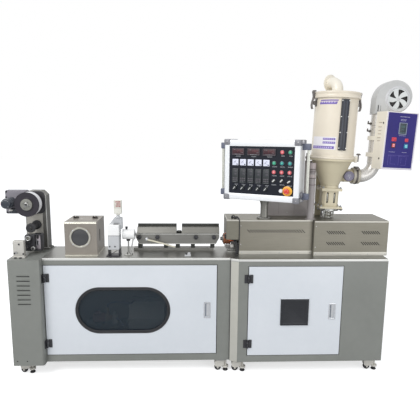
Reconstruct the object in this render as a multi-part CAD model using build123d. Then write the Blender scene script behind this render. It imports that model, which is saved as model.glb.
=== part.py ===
from build123d import *
from math import cos, pi, radians, sin
import os

os.makedirs("parts", exist_ok=True)

# A filament extruder line in millimetres. X runs along the line, from the winder at the left end
# to the drive at the right end. Y runs to the back and Z is up, with the floor at 0.

# Gap left between curved faces that fit together, and the sides of small round parts that repeat
fit = 0.3
small_sides = 12
caster_sides = 8

# Cabinets
table_z = 885
table_thick = 17
table_chamfer = 2
base_z = 100
sheet = 3
rail_depth = 25
top_rail = 33
bottom_rail = 50
left_length = 1563
left_depth = 345
left_post = 95
right_length = 1137
right_depth = 410
right_step = 39
right_jamb = 124
right_panel = 321
bevel_width = 55
bevel_depth = 24

# End housing at the winder end
housing_width = 224
housing_step = 57
housing_radius = 14
louvre_count = 7
louvre_length = 91
louvre_height = 7
louvre_pitch = 34
louvre_top = 768
louvre_x = 107
louvre_depth = 10
housing_hole = 10
housing_hole_x = 33
housing_hole_pitch = 70
housing_hole_z = 34

# Doors
door_gap = 5
door_thick = 22
hinge_height = 62
hinge_inset = 90
hinge_leaf = 22
hinge_leaf_thick = 4
knuckle_radius = 7
hinge_play = 0.5
window_length = 684
window_height = 352
window_from_edge = 556
window_from_bottom = 338
gasket_lip = 10
gasket_width = 22
gasket_proud = 4
glass_thick = 5
pull_width = 50
pull_height = 120
pull_from_edge = 68
pull_recess = 12
pull_rim = 6
vent_size = 204
vent_from_edge = 338.5
vent_from_bottom = 336
vent_proud = 9
vent_bars = 9

# Levelling casters
caster_inset = 64
caster_plate = 73
caster_plate_thick = 7
caster_wheel = 50
caster_tread = 22
caster_lift = 3
caster_cheek = 5
caster_side_gap = 3
caster_neck = 6
caster_swivel = 26
caster_axle = 5
foot_radius = 24
foot_pad = 12
foot_offset = 38

# Water unit inside the left cabinet
tank_length = 270
tank_width = 170
tank_height = 360
tank_x = 932
shelf_left = 455
shelf_right = 770
shelf_z = 285
shelf_depth = 190
pump_radius = 38
pump_length = 96
pump_x = 560
pump_z = 52
bottle_radius = 22
bottle_height = 78
bottle_x = 680

# Covers on the right cabinet
cover_top = table_z + 261
cover_back = 360
barrel_front = 93
drive_front = 53
barrel_left = 1629
cover_seam = 2174
drive_overhang = 24
hood_left = 1535
hood_bottom = table_z + 112
slot_width = 5
slot_length = 33
slot_depth = 8
slot_pitch = 20.2
slot_count = 21
slot_start = 1700
slot_z = table_z + 176
drive_slot_count = 8
drive_slot_pitch = 16.5
drive_slot_x = (2278, 2536)
drive_slot_z = (table_z + 174, table_z + 92)

# Die head
line_y = 205
die_z = table_z + 95
barrel_radius = 30
die_left = 1514
die_nose = 16
heater_radius = 42
heater_left = 1520
heater_length = 54
die_block_width = 76

# Winder
stand_left = 30
stand_right = 189
stand_front = 262
stand_depth = 80
stand_top = table_z + 447
stand_chamfer = 34
spool_x = 91
spool_z = table_z + 361
spool_front = 135
spool_width = 62
spool_radius = 89.5
spool_flange = 4
filament_radius = 80
spool_core = 34
spool_bore = 10
hub_radius = 43
hub_proud = 12
gear_left = -93
gear_right = 66
gear_front = 212
gear_bottom = table_z + 280
gear_top = table_z + 455
motor_x = -44
motor_z = table_z + 370
motor_radius = 36
motor_front = 92
roller_x = 114
roller_z = table_z + 191
roller_front = 118
roller_radius = 34
roller_core = 21
roller_flange = 26
roller_shaft = 8
roller_body = 86

# Traverse unit below the winder
block_left = 25
block_right = 101
block_front = 8
block_back = 40
block_top = table_z + 123
rod_x = 83
rod_z = (table_z + 45, table_z + 90)
rod_radius = 7
head_left = 120
head_right = 186
head_front = 118
head_back = 178
head_bottom = table_z + 20
head_top = table_z + 145
head_wall = 12
head_knob_x = 99
head_knob_z = table_z + 119
head_knob_radius = 20

# Puller box
puller_left = 374
puller_width = 229
puller_front = 54
puller_depth = 265
puller_height = 250
puller_radius = 14
puller_window_z = 137
puller_window = 62
puller_ring = 81
puller_ring_proud = 3
latch_inset = 44
latch_width = 36
latch_back = 150
latch_depth = 26
latch_height = 12

# Diameter scanner
scanner_x = 683
scanner_front = 28
scanner_width = 82
scanner_depth = 90
scanner_bottom = table_z + 52
scanner_top = table_z + 234
scanner_cap = table_z + 275
display_width = 58
display_height = 101
display_bottom = table_z + 304
display_depth = 24
drum_radius = 37
drum_x = 768
drum_length = 100
drum_y = 100
drum_z = table_z + 152

# Water trough
trough_left = 862
trough_right = 1490
trough_width = 104
trough_bottom = table_z + 55
trough_rim = table_z + 135
trough_taper = 25
trough_wall = 3
lid_height = 45
lid_top_width = 58
lid_bar = 18
rail_height = 20
trough_foot = 30
trough_front = 190
trough_feet = (890, 1085, 1175, 1290, 1440)
trough_knobs = (889, 1024, 1313, 1449)
trough_knob_z = table_z + 110
left_lid_ends = (872, 1165)
right_lid_ends = (1206, 1490)
lid_knuckle = 5
lid_hinge_length = 60
knuckle_gap = 0.8
lid_gap = 0.5

# Control panel on its post
post_x = 1819
post_y = 152
post_radius = 28.5
post_flange = 55
post_flange_thick = 10
panel_turn = -27.7
panel_face_forward = 107
panel_width = 558
panel_height = 432
panel_depth = 150
face_width = 482
face_height = 341
panel_recess = 5
panel_bottom = cover_top + 145
panel_corner = 42
corner_proud = 4
handle_out = 55
handle_block = 44
handle_length = 300
handle_bar = 10

# Housing and cable riser behind the panel
box_left = 1838
box_right = 2200
box_front = 270
box_top = cover_top + 422
box_radius = 12
riser_x = 2158
riser_y = 124
riser_radius = 26
riser_flange = 38
riser_top = cover_top + 416

# Hopper dryer, in a frame of its own that leans a little towards its blower
dryer_x = 2309
dryer_y = 200
dryer_lean = 1.8
dryer_z = cover_top + 79
hopper_wall = 3
body_radius = 153
body_bottom = 379
body_top = 795
lower_ring_radius = 165
lower_ring_height = 24
lid_ring_radius = 170
lid_ring_height = 42
lid_dome = 14
lid_shoulder = 10
lid_boss = 60
cone_bottom = 168
cone_radius = 66
neck_bottom = 28
neck_top = 130
neck_width = 120
neck_corner = 16
neck_flange = 152
neck_flange_thick = 38
base_plate = 168
feed_bore = 33
bend_pieces = 4
elbow_radius = 40
elbow_rise = 8
elbow_bend = 56
elbow_run = 22
elbow_turn = 25
elbow_flange = 62
sight_width = 56
sight_bottom = 430
sight_height = 355
sight_turn = 5.5
pipe_radius = 48
pipe_z = 245
inlet_reach = 160
inlet_flange = 61
inlet_flange_thick = 26
pipe_bend = 100
damper_x = 116
damper_radius = 37
damper_proud = 34
duct_x = 319
duct_top = 700
clamp_z = (578, 632)
clamp_hook = 9
blower_x = 430
blower_z = 810
blower_depth = 96
blower_inner = 78
blower_growth = 81
blower_eye = 76
scroll_arcs = 3
shutter_blades = 5
ctrl_x = 421
ctrl_y = -170
ctrl_z = 510
ctrl_turn = 11.6
ctrl_roll = 0.8
ctrl_width = 254
ctrl_height = 402
ctrl_depth = 122
arm_left = -121
arm_width = 40
arm_height = 30
arm_reach = 90
arm_levels = (0, -120)

# Slide gate and throat under the dryer
gate_thick = 6
gate_width = 70
gate_length = 150
gate_play = 0.5
throat_radius = 32
throat_flange = 75
throat_flange_thick = 12

# Stay behind the neck
stay_left = 2238
stay_right = 2290
stay_back = 306
stay_thick = 10

# Controls on the panel's face, from its centre
row_display = 131
row_meter = 56
row_controller = -40
row_knob = -126
column_first = -192
column_pitch = 58.5
display_first = -173
display_pitch = 116.5
display_size = (94, 48)
meter_size = (45, 45)
controller_size = (48, 104)
button_first = 97
button_pitch = 56.5
button_rows = (133, 57, -6, -67)
button_radius = 13
knob_radius = 14
control_proud = 8
knob_proud = 18
stop_u = 197
stop_v = -135
stop_radius = 20
stop_plate = 32

# Places that follow from the sizes above
cabinet_top = table_z - table_thick
opening_bottom = base_z + bottom_rail
opening_top = cabinet_top - top_rail
door_bottom = opening_bottom + door_gap
door_top = opening_top - door_gap
right_start = left_length
right_end = right_start + right_length
right_front = -right_step
right_back = right_front + right_depth
drive_right = right_end + drive_overhang
left_open_end = left_length - left_post
left_door_start = housing_width + door_gap
left_door_end = left_open_end - door_gap
right_open_start = right_start + right_jamb
right_open_end = right_end - right_panel
right_door_start = right_open_start + door_gap
right_door_end = right_open_end - door_gap
hinge_z = (door_bottom + hinge_inset, door_top - hinge_inset)

pieces = {}


def block(x0, x1, y0, y1, z0, z1):
    """A box between two corners."""
    middle = Location(((x0 + x1) / 2, (y0 + y1) / 2, (z0 + z1) / 2))
    return middle * Box(x1 - x0, y1 - y0, z1 - z0)


def tube_x(x0, x1, y, z, radius):
    """A round bar along X."""
    return Location(((x0 + x1) / 2, y, z), (0, 90, 0)) * Cylinder(radius, x1 - x0)


def tube_y(x, y0, y1, z, radius):
    """A round bar along Y."""
    return Location((x, (y0 + y1) / 2, z), (90, 0, 0)) * Cylinder(radius, y1 - y0)


def tube_z(x, y, z0, z1, radius):
    """A round bar along Z."""
    return Location((x, y, (z0 + z1) / 2)) * Cylinder(radius, z1 - z0)


def upright(x0, x1, y0, y1, z0, z1, radius, corners=None):
    """A box with rounded upright edges, all four or those that corners picks from left-front on."""
    solid = block(x0, x1, y0, y1, z0, z1)
    edges = solid.edges().filter_by(Axis.Z)
    if corners == "front":
        edges = edges.filter_by(lambda e: e.center().Y < (y0 + y1) / 2)
    return fillet(edges, radius)


def plate_y(outline, y0, y1):
    """A plate that stands in the XZ plane, from a sketch drawn with X and Z as its axes."""
    return extrude(Plane.XZ.offset(-y0) * outline, -(y1 - y0))


def peg_x(x0, x1, y, z, radius):
    """A small round part along X, drawn with few sides because it repeats."""
    return Location((x0, y, z), (0, 90, 0)) * extrude(RegularPolygon(radius, small_sides), x1 - x0)


def peg_y(x, y0, y1, z, radius, sides=small_sides):
    """A small round part along Y."""
    return plate_y(Location((x, z)) * RegularPolygon(radius, sides), y0, y1)


def peg_z(x, y, z0, z1, radius, sides=small_sides):
    """A small round part along Z."""
    return Location((x, y, z0)) * extrude(RegularPolygon(radius, sides), z1 - z0)


def bend_corners(centre_x, centre_z, radius, start, turn):
    """The corners of a pipe bend made of straight mitred pieces that touch the bend's arc."""
    step = turn / bend_pieces
    reach = radius / cos(radians(step / 2))
    corners = []
    for i in range(bend_pieces):
        angle = radians(start + (i + 0.5) * step)
        corners.append((centre_x + reach * cos(angle), centre_z + reach * sin(angle)))
    return corners


def stadium(x, z, length, height):
    """A window's outline: two half circles joined by straight sides."""
    return Location((x, z)) * SlotOverall(length, height)


def hinge(axis_x, axis_y, z, leaf_on_side):
    """The fixed half of a butt hinge: a leaf, and the knuckles above and below the middle one."""
    third = hinge_height / 3
    low = z - hinge_height / 2
    half = tube_z(axis_x, axis_y, low, low + third - hinge_play, knuckle_radius)
    half += tube_z(axis_x, axis_y, low + 2 * third + hinge_play, low + hinge_height, knuckle_radius)
    if leaf_on_side:
        side = housing_width
        leaf = block(side, side + hinge_leaf_thick, axis_y - hinge_leaf, axis_y + knuckle_radius,
                     low, low + hinge_height)
        arm = block(side, axis_x, axis_y - knuckle_radius, axis_y, low, low + hinge_height)
    else:
        front = right_front
        leaf = block(axis_x - knuckle_radius - hinge_leaf, axis_x - knuckle_radius - hinge_play,
                     front - hinge_leaf_thick, front, low, low + hinge_height)
        arm = block(axis_x - knuckle_radius - hinge_play, axis_x, front - hinge_leaf_thick, front,
                    low, low + hinge_height)
    gap = block(axis_x - knuckle_radius - hinge_play, axis_x + knuckle_radius, axis_y - 40, axis_y + 40,
                low + third - hinge_play, low + 2 * third + hinge_play)
    return half + leaf + (arm - gap)


def hinge_on_door(axis_x, axis_y, z, face_y):
    """The moving half: the middle knuckle and a leaf that lies on the door's face."""
    third = hinge_height / 3
    low = z - hinge_height / 2
    start = axis_x + knuckle_radius + hinge_play
    knuckle = tube_z(axis_x, axis_y, low + third, low + 2 * third, knuckle_radius)
    leaf = block(start, start + hinge_leaf, face_y - hinge_leaf_thick, face_y, low, low + hinge_height)
    web = block(axis_x, start, axis_y, face_y, low + third, low + 2 * third)
    return knuckle + leaf + web


# Left cabinet: a sheet shell with one wide door opening
left_cabinet = block(housing_width, left_length, 0, left_depth, base_z, cabinet_top)
left_cabinet -= block(housing_width + sheet, left_length - sheet, rail_depth, left_depth - sheet,
                      base_z + sheet, cabinet_top - sheet)
left_cabinet -= block(housing_width - 1, left_open_end, -1, rail_depth + 1, opening_bottom, opening_top)
pieces["left_cabinet"] = left_cabinet

left_table = block(housing_width, left_length, 0, left_depth, cabinet_top, table_z)
left_table = chamfer(left_table.edges().filter_by(Axis.X).group_by(Axis.Z)[-1].sort_by(Axis.Y)[0],
                     table_chamfer)

# Right cabinet: its left front corner is a bevel, and its front stands ahead of the left one
right_outline = make_face(Polyline(
    (right_start, right_back),
    (right_start, right_front + bevel_depth),
    (right_start + bevel_width, right_front),
    (right_end, right_front),
    (right_end, right_back),
    close=True,
))
right_cabinet = Location((0, 0, base_z)) * extrude(right_outline, cabinet_top - base_z)
right_cabinet -= block(right_start + sheet, right_end - sheet, right_front + rail_depth,
                       right_back - sheet, base_z + sheet, cabinet_top - sheet)
right_cabinet -= block(right_open_start, right_open_end, right_front - 1, right_front + rail_depth + 1,
                       opening_bottom, opening_top)
pieces["right_cabinet"] = right_cabinet

right_table = Location((0, 0, cabinet_top)) * extrude(right_outline, table_thick)
pieces["table_tops"] = Compound(children=[left_table, right_table])

# End housing: a closed sheet cover with louvres low on its front
end_housing = upright(0, housing_width, -housing_step, left_depth, base_z, table_z, housing_radius, "front")
for i in range(louvre_count):
    z = louvre_top - i * louvre_pitch
    end_housing -= block(louvre_x - louvre_length / 2, louvre_x + louvre_length / 2, -housing_step - 1,
                         -housing_step + louvre_depth, z - louvre_height / 2, z + louvre_height / 2)
for x in (housing_hole_x, housing_hole_x + housing_hole_pitch):
    end_housing -= tube_y(x, -housing_step - 1, -housing_step + louvre_depth, base_z + housing_hole_z,
                          housing_hole / 2)
pieces["end_housing"] = end_housing

# Left door, with a stadium window in a rubber gasket
left_axis_x = housing_width + hinge_leaf_thick + hinge_play + knuckle_radius
left_axis_y = -knuckle_radius - hinge_leaf_thick
window_x = left_door_start + window_from_edge
window_z = door_bottom + window_from_bottom
hole_length = window_length - 2 * gasket_lip
hole_height = window_height - 2 * gasket_lip
clear_length = window_length - 2 * gasket_width
clear_height = window_height - 2 * gasket_width
glass_seat = (gasket_width - gasket_lip) / 2

left_door = block(left_door_start, left_door_end, 0, door_thick, door_bottom, door_top)
left_door -= plate_y(stadium(window_x, window_z, hole_length, hole_height), -1, door_thick + 1)
left_pull_x = left_door_end - pull_from_edge
pull_z = (door_bottom + door_top) / 2
left_door -= block(left_pull_x - pull_width / 2 + pull_rim, left_pull_x + pull_width / 2 - pull_rim,
                   -1, pull_recess + sheet, pull_z - pull_height / 2 + pull_rim,
                   pull_z + pull_height / 2 - pull_rim)
for z in hinge_z:
    left_door += hinge_on_door(left_axis_x, left_axis_y, z, 0)
gasket = plate_y(stadium(window_x, window_z, window_length, window_height), -gasket_proud, 0)
gasket += plate_y(stadium(window_x, window_z, hole_length - 2 * fit, hole_height - 2 * fit), 0, door_thick)
gasket -= plate_y(stadium(window_x, window_z, clear_length, clear_height), -gasket_proud - 1,
                  door_thick + 1)
glass_outline = stadium(window_x, window_z, clear_length + 2 * glass_seat, clear_height + 2 * glass_seat)
glass_front = (door_thick - glass_thick) / 2
glass = plate_y(glass_outline, glass_front, glass_front + glass_thick)
groove = stadium(window_x, window_z, clear_length + 2 * (glass_seat + fit),
                 clear_height + 2 * (glass_seat + fit))
pieces["window_gasket"] = gasket - plate_y(groove, glass_front, glass_front + glass_thick)
pieces["window_glass"] = glass


def pull(x, front):
    """A flush pull: a thin rim on the door with a cup pressed in behind it."""
    rim = block(x - pull_width / 2, x + pull_width / 2, front - sheet / 2, front,
                pull_z - pull_height / 2, pull_z + pull_height / 2)
    cup = block(x - pull_width / 2 + pull_rim, x + pull_width / 2 - pull_rim, front,
                front + pull_recess + sheet, pull_z - pull_height / 2 + pull_rim,
                pull_z + pull_height / 2 - pull_rim)
    hollow = block(x - pull_width / 2 + pull_rim + sheet, x + pull_width / 2 - pull_rim - sheet,
                   front - sheet, front + pull_recess, pull_z - pull_height / 2 + pull_rim + sheet,
                   pull_z + pull_height / 2 - pull_rim - sheet)
    return rim + cup - hollow


pieces["left_door"] = left_door + pull(left_pull_x, 0)

# Right door, with a filter vent
right_axis_x = right_open_start + door_gap / 2
right_axis_y = right_front - knuckle_radius - hinge_leaf_thick / 2
right_door = block(right_door_start, right_door_end, right_front, right_front + door_thick,
                   door_bottom, door_top)
right_pull_x = right_door_end - pull_from_edge
right_door -= block(right_pull_x - pull_width / 2 + pull_rim, right_pull_x + pull_width / 2 - pull_rim,
                    right_front - 1, right_front + pull_recess + sheet,
                    pull_z - pull_height / 2 + pull_rim, pull_z + pull_height / 2 - pull_rim)
for z in hinge_z:
    right_door += hinge_on_door(right_axis_x, right_axis_y, z, right_front)
right_door += pull(right_pull_x, right_front)

vent_x = right_door_start + vent_from_edge
vent_z = door_bottom + vent_from_bottom
vent = block(vent_x - vent_size / 2, vent_x + vent_size / 2, right_front - vent_proud, right_front,
             vent_z - vent_size / 2, vent_z + vent_size / 2)
vent = chamfer(vent.faces().sort_by(Axis.Y)[0].edges(), vent_proud / 2)
bar_pitch = (vent_size - 4 * vent_proud) / vent_bars
for i in range(vent_bars):
    z = vent_z + (i - (vent_bars - 1) / 2) * bar_pitch
    vent -= block(vent_x - vent_size / 2 + 2 * vent_proud, vent_x + vent_size / 2 - 2 * vent_proud,
                  right_front - vent_proud - 1, right_front - vent_proud / 2,
                  z - bar_pitch / 4, z + bar_pitch / 4)
pieces["right_door"] = right_door + vent

hinges = [hinge(left_axis_x, left_axis_y, z, True) for z in hinge_z]
hinges += [hinge(right_axis_x, right_axis_y, z, False) for z in hinge_z]
pieces["door_hinges"] = Compound(children=hinges)

# Levelling casters, standing on their feet with the wheels just off the floor
axle_z = caster_lift + caster_wheel / 2
fork_top = base_z - caster_plate_thick
fork_half = caster_tread / 2 + caster_cheek + caster_side_gap


def caster(x, y):
    """One caster about its plate's centre: the bracket with its foot, and the wheel on its axle."""
    wheel_x = x - foot_offset / 2
    foot_x = x + foot_offset
    solid = block(x - caster_plate / 2, x + caster_plate / 2, y - caster_plate / 2, y + caster_plate / 2,
                  fork_top, base_z)
    solid += peg_z(wheel_x + caster_cheek, y, fork_top - caster_neck, fork_top, caster_swivel, caster_sides)
    fork = block(wheel_x - caster_cheek * 2, foot_x, y - fork_half, y + fork_half, axle_z - caster_cheek * 2,
                 fork_top - caster_neck)
    fork = chamfer(fork.edges().filter_by(Axis.Y).sort_by(Axis.X)[:2], caster_cheek * 2)
    fork -= block(wheel_x - caster_wheel, foot_x - foot_radius / 2, y - fork_half + caster_cheek,
                  y + fork_half - caster_cheek, 0, axle_z + caster_wheel / 2 + caster_side_gap)
    solid += fork + peg_y(wheel_x, y - fork_half, y + fork_half, axle_z, caster_axle, caster_sides)
    solid += peg_z(foot_x, y, 0, foot_pad, foot_radius * 0.75, caster_sides)
    solid += peg_z(foot_x, y, foot_pad, fork_top, foot_radius / 3, caster_sides)
    solid += peg_z(foot_x, y, axle_z, axle_z + foot_pad, foot_radius, caster_sides)
    wheel = RegularPolygon(caster_wheel / 2, 2 * caster_sides) - RegularPolygon(caster_axle + fit, caster_sides)
    wheel = plate_y(Location((wheel_x, axle_z)) * wheel, y - caster_tread / 2, y + caster_tread / 2)
    return solid, wheel


casters = []
for x0, x1, y0, y1 in ((0, left_length, -housing_step / 2, left_depth),
                       (right_start, right_end, right_front, right_back)):
    for x in (x0 + caster_inset, x1 - caster_inset):
        for y in (y0 + caster_inset, y1 - caster_inset):
            casters.append(caster(x, y))
pieces["caster_brackets"] = Compound(children=[bracket for bracket, wheel in casters])
pieces["caster_wheels"] = Compound(children=[wheel for bracket, wheel in casters])

# Water unit on the floor of the left cabinet: a tank, a pump on its motor, and a filter bottle
floor_z = base_z + sheet
tank_y = left_depth - sheet - tank_width
tank = block(tank_x - tank_length / 2, tank_x + tank_length / 2, tank_y, left_depth - sheet,
             floor_z, floor_z + tank_height)
slope = make_face(Polyline(
    (tank_y, floor_z + tank_height * 0.7),
    (tank_y + tank_width * 0.45, floor_z + tank_height),
    (tank_y, floor_z + tank_height),
    close=True,
))
tank -= Location((tank_x - tank_length, 0, 0)) * extrude(Plane.YZ * slope, 2 * tank_length)

shelf_y = left_depth - sheet - shelf_depth
shelf = block(shelf_left, shelf_right, shelf_y, left_depth - sheet, shelf_z - sheet, shelf_z)
for x in (shelf_left, shelf_right - sheet):
    shelf += block(x, x + sheet, shelf_y, left_depth - sheet, floor_z, shelf_z)
pump_y = shelf_y + shelf_depth / 2
pump_axis = shelf_z + pump_z
pump_end = pump_x + pump_length / 2
pump = tube_x(pump_x - pump_length / 2, pump_end, pump_y, pump_axis, pump_radius)
pump += peg_x(pump_end, pump_end + pump_radius, pump_y, pump_axis, pump_radius * 0.8)
pump += block(pump_x - pump_length / 3, pump_x + pump_length / 3, pump_y - pump_radius * 0.6,
              pump_y + pump_radius * 0.6, shelf_z, pump_axis)
pump += peg_z(pump_end + pump_radius / 2, pump_y, pump_axis, pump_axis + pump_radius * 2, pump_radius / 4)
bottle = tube_z(bottle_x, pump_y, shelf_z, shelf_z + bottle_height, bottle_radius)
bottle += peg_z(bottle_x, pump_y, shelf_z, shelf_z + bottle_height * 1.25, bottle_radius * 0.35)
pieces["water_unit"] = Compound(children=[tank, shelf + pump + bottle])

# Covers over the barrel and the drive, with slanted vent slots
slot_outline = Rectangle(slot_length, slot_width, rotation=-45)


def cover(left, right, front, starts):
    """A closed sheet cover on the right cabinet's table, with slots cut at the named places."""
    solid = block(left, right, front, cover_back, table_z, cover_top)
    top_edge = solid.edges().filter_by(Axis.X).group_by(Axis.Z)[-1].sort_by(Axis.Y)[0]
    solid = chamfer(top_edge, sheet)
    for x, z in starts:
        solid -= plate_y(Location((x, z)) * slot_outline, front - 1, front + slot_depth)
    return solid


barrel_slots = [(slot_start + i * slot_pitch, slot_z) for i in range(slot_count)]
drive_slots = [(x + i * drive_slot_pitch, z) for x in drive_slot_x for z in drive_slot_z
               for i in range(drive_slot_count)]
pieces["barrel_cover"] = cover(barrel_left, cover_seam, barrel_front, barrel_slots)
pieces["drive_cover"] = cover(cover_seam, drive_right, drive_front, drive_slots)

# Die hood: a sheet hood, open below, on the left of the barrel cover
hood = block(hood_left, barrel_left, barrel_front, cover_back, hood_bottom, cover_top)
hood -= block(hood_left + sheet, barrel_left - sheet, barrel_front + sheet, cover_back - sheet,
              hood_bottom - 1, cover_top - sheet)
hood -= block(hood_left - 1, barrel_left + 1, line_y - heater_radius * 1.25, line_y + heater_radius * 1.25,
              hood_bottom - 1, die_z + heater_radius * 1.25)
pieces["die_hood"] = hood

# Die head: the barrel's nose with its clamp ring, on a block that stands on the table
die = tube_x(die_left, barrel_left, line_y, die_z, barrel_radius)
die += tube_x(heater_left + heater_length + 6, barrel_left - 12, line_y, die_z, heater_radius)
die += block(heater_left + heater_length + 8, heater_left + heater_length + 8 + die_block_width / 2,
             line_y - die_block_width / 2, line_y + die_block_width / 2, table_z, die_z)
die += peg_x(die_left - die_nose, die_left, line_y, die_z, barrel_radius / 2)
pieces["die_head"] = die
heater = tube_x(heater_left, heater_left + heater_length, line_y, die_z, heater_radius)
heater -= tube_x(heater_left - 1, heater_left + heater_length + 1, line_y, die_z, barrel_radius + fit)
heater += block(heater_left + heater_length * 0.3, heater_left + heater_length * 0.7, line_y - 10, line_y + 10,
                die_z + heater_radius - 2, die_z + heater_radius + 8)
pieces["heater_band"] = heater

# Winder stand: a post with chamfered shoulders and the spool's shaft
stand_back = stand_front + stand_depth
stand_outline = make_face(Polyline(
    (stand_left, table_z),
    (stand_left, stand_top - stand_chamfer),
    (stand_left + stand_chamfer, stand_top),
    (stand_right - stand_chamfer, stand_top),
    (stand_right, stand_top - stand_chamfer),
    (stand_right, table_z),
    close=True,
))
stand = plate_y(stand_outline, stand_front, stand_back)
stand += block(stand_left - 10, stand_right + 16, stand_front - 14, stand_back, table_z, table_z + 8)
shaft_front = spool_front - hub_proud - 10
shaft_radius = spool_bore - fit
stand += tube_y(spool_x, shaft_front, stand_front, spool_z, shaft_radius)
spool_back = spool_front + 2 * spool_flange + spool_width
stand += tube_y(spool_x, spool_back + 5.5, stand_front, spool_z, 3 * spool_bore)
stand += tube_y(roller_x, roller_front - 4, stand_front, roller_z, roller_shaft - fit)
pieces["winder_stand"] = stand

gear = block(gear_left, gear_right, gear_front, stand_front, gear_bottom, gear_top)
gear -= tube_y(spool_x, gear_front - 1, stand_front + 1, spool_z, 3 * spool_bore + fit)
gear = fillet(gear.edges().filter_by(Axis.Y).sort_by(Axis.X)[:2], 10)
gear += tube_y(motor_x, motor_front, gear_front, motor_z, motor_radius)
gear += tube_y(motor_x, motor_front + 26, motor_front + 40, motor_z, motor_radius + 3)
pieces["winder_motor"] = gear

# Spool with wound filament, turning on the shaft
spool = tube_y(spool_x, spool_front, spool_front + spool_flange, spool_z, spool_radius)
spool += tube_y(spool_x, spool_front, spool_back, spool_z, spool_core)
spool += tube_y(spool_x, spool_back - spool_flange, spool_back, spool_z, spool_radius)
spool += tube_y(spool_x, spool_front - hub_proud, spool_front, spool_z, hub_radius)
spool -= tube_y(spool_x, spool_front - hub_proud - 1, spool_back + 1, spool_z, spool_bore)
pieces["spool"] = spool
filament = tube_y(spool_x, spool_front + spool_flange, spool_back - spool_flange, spool_z, filament_radius)
filament -= tube_y(spool_x, spool_front, spool_back, spool_z, spool_core + fit)
pieces["filament"] = filament

# Guide roller on its own shaft below the spool
roller_profile = make_face(Polyline(
    (roller_shaft, 0), (roller_radius, 0), (roller_radius, roller_flange),
    (roller_core, roller_flange), (roller_core, roller_flange + roller_body),
    (roller_radius, roller_flange + roller_body), (roller_radius, 2 * roller_flange + roller_body),
    (roller_shaft, 2 * roller_flange + roller_body), close=True,
))
roller = revolve(Plane.XY * roller_profile, Axis.Y)
pieces["guide_roller"] = Location((roller_x, roller_front, roller_z)) * roller

# Traverse unit that lays the filament: a bearing block at the front, two rods and a guide head
bearing = upright(block_left, block_right, block_front, block_back, table_z, block_top, 4)
for z in rod_z:
    bearing += peg_y(rod_x, block_back, stand_front, z, rod_radius)
bearing += peg_y(block_left + 46, block_front - 14, block_front, block_top - 32, 9)
head = block(block_right - 32, head_left + 20, head_front, head_back, head_bottom, head_top - 4)
for z in rod_z:
    head -= peg_y(rod_x, head_front - 1, head_back + 1, z, rod_radius)
frame = block(head_left, head_right, head_front + 10, head_back, head_bottom, head_top)
frame -= block(head_left + head_wall, head_right - head_wall, head_front, head_front + 20,
               head_bottom + head_wall, head_top - head_wall)
head += frame
head += tube_y(head_knob_x, head_front - 22, head_front, head_knob_z, head_knob_radius)
pieces["traverse_unit"] = bearing + head

# Puller box with a round window
puller_back = puller_front + puller_depth
puller_right = puller_left + puller_width
puller_top = table_z + puller_height
puller = block(puller_left, puller_right, puller_front, puller_back, table_z, puller_top)
puller = fillet(puller.edges().filter_by(Axis.X).group_by(Axis.Z)[-1].sort_by(Axis.Y)[0], puller_radius)
window_cx = puller_left + puller_width / 2 - 5
window_cz = table_z + puller_window_z
puller += tube_y(window_cx, puller_front - puller_ring_proud, puller_front, window_cz, puller_ring)
puller -= tube_y(window_cx, puller_front - puller_ring_proud - 1, puller_front + puller_ring_proud,
                 window_cz, puller_window)
for x in (puller_left + latch_inset, puller_right - latch_inset):
    puller += block(x - latch_width / 2, x + latch_width / 2, puller_front + latch_back,
                    puller_front + latch_back + latch_depth, puller_top, puller_top + latch_height)
pieces["puller_box"] = puller

# Diameter scanner on its stand, with the display above and a cooling drum beside it
scanner_right = scanner_x + scanner_width
scanner_back = scanner_front + scanner_depth
foot = block(scanner_x - 14, scanner_right + 3, scanner_front, scanner_back, table_z, table_z + 6)
foot += block(scanner_x, scanner_x + 8, scanner_front + 12, scanner_back, table_z, scanner_bottom)
foot += block(scanner_right - 8, scanner_right, scanner_front + 12, scanner_back, table_z, scanner_bottom)
body = block(scanner_x, scanner_right, scanner_front, scanner_back, scanner_bottom, scanner_top)
hat = make_face(Polyline(
    (scanner_x + 12, scanner_top), (scanner_x + 40, scanner_cap), (scanner_right + 14, scanner_cap),
    (scanner_right + 14, scanner_top - 40), (scanner_right, scanner_top - 40), (scanner_right, scanner_top),
    close=True,
))
body += plate_y(hat, scanner_front + 44, scanner_back)
neck_x = scanner_x + 68
neck_y = scanner_front + 60
body += peg_z(neck_x, neck_y, scanner_cap, display_bottom, 12)
display = upright(neck_x - display_width / 2, neck_x + display_width / 2, neck_y - display_depth / 2,
                  neck_y + display_depth / 2, display_bottom, display_bottom + display_height, 5)
pieces["diameter_scanner"] = foot + body + display
drum = tube_x(drum_x, drum_x + drum_length, drum_y, drum_z, drum_radius)
drum -= block(drum_x - 1, scanner_right + 14, drum_y - 50, drum_y + 50, drum_z - 50, drum_z + 50)
drum += block(drum_x + 44, drum_x + 60, drum_y - 10, drum_y + 10, table_z, drum_z - drum_radius + 2)
drum += block(drum_x + 24, drum_x + 80, drum_y - 30, drum_y + 30, table_z, table_z + 8)
drum += peg_z(drum_x + 40, drum_y, drum_z + drum_radius - 4, drum_z + drum_radius + 20, 8)
pieces["cooling_drum"] = drum

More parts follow.
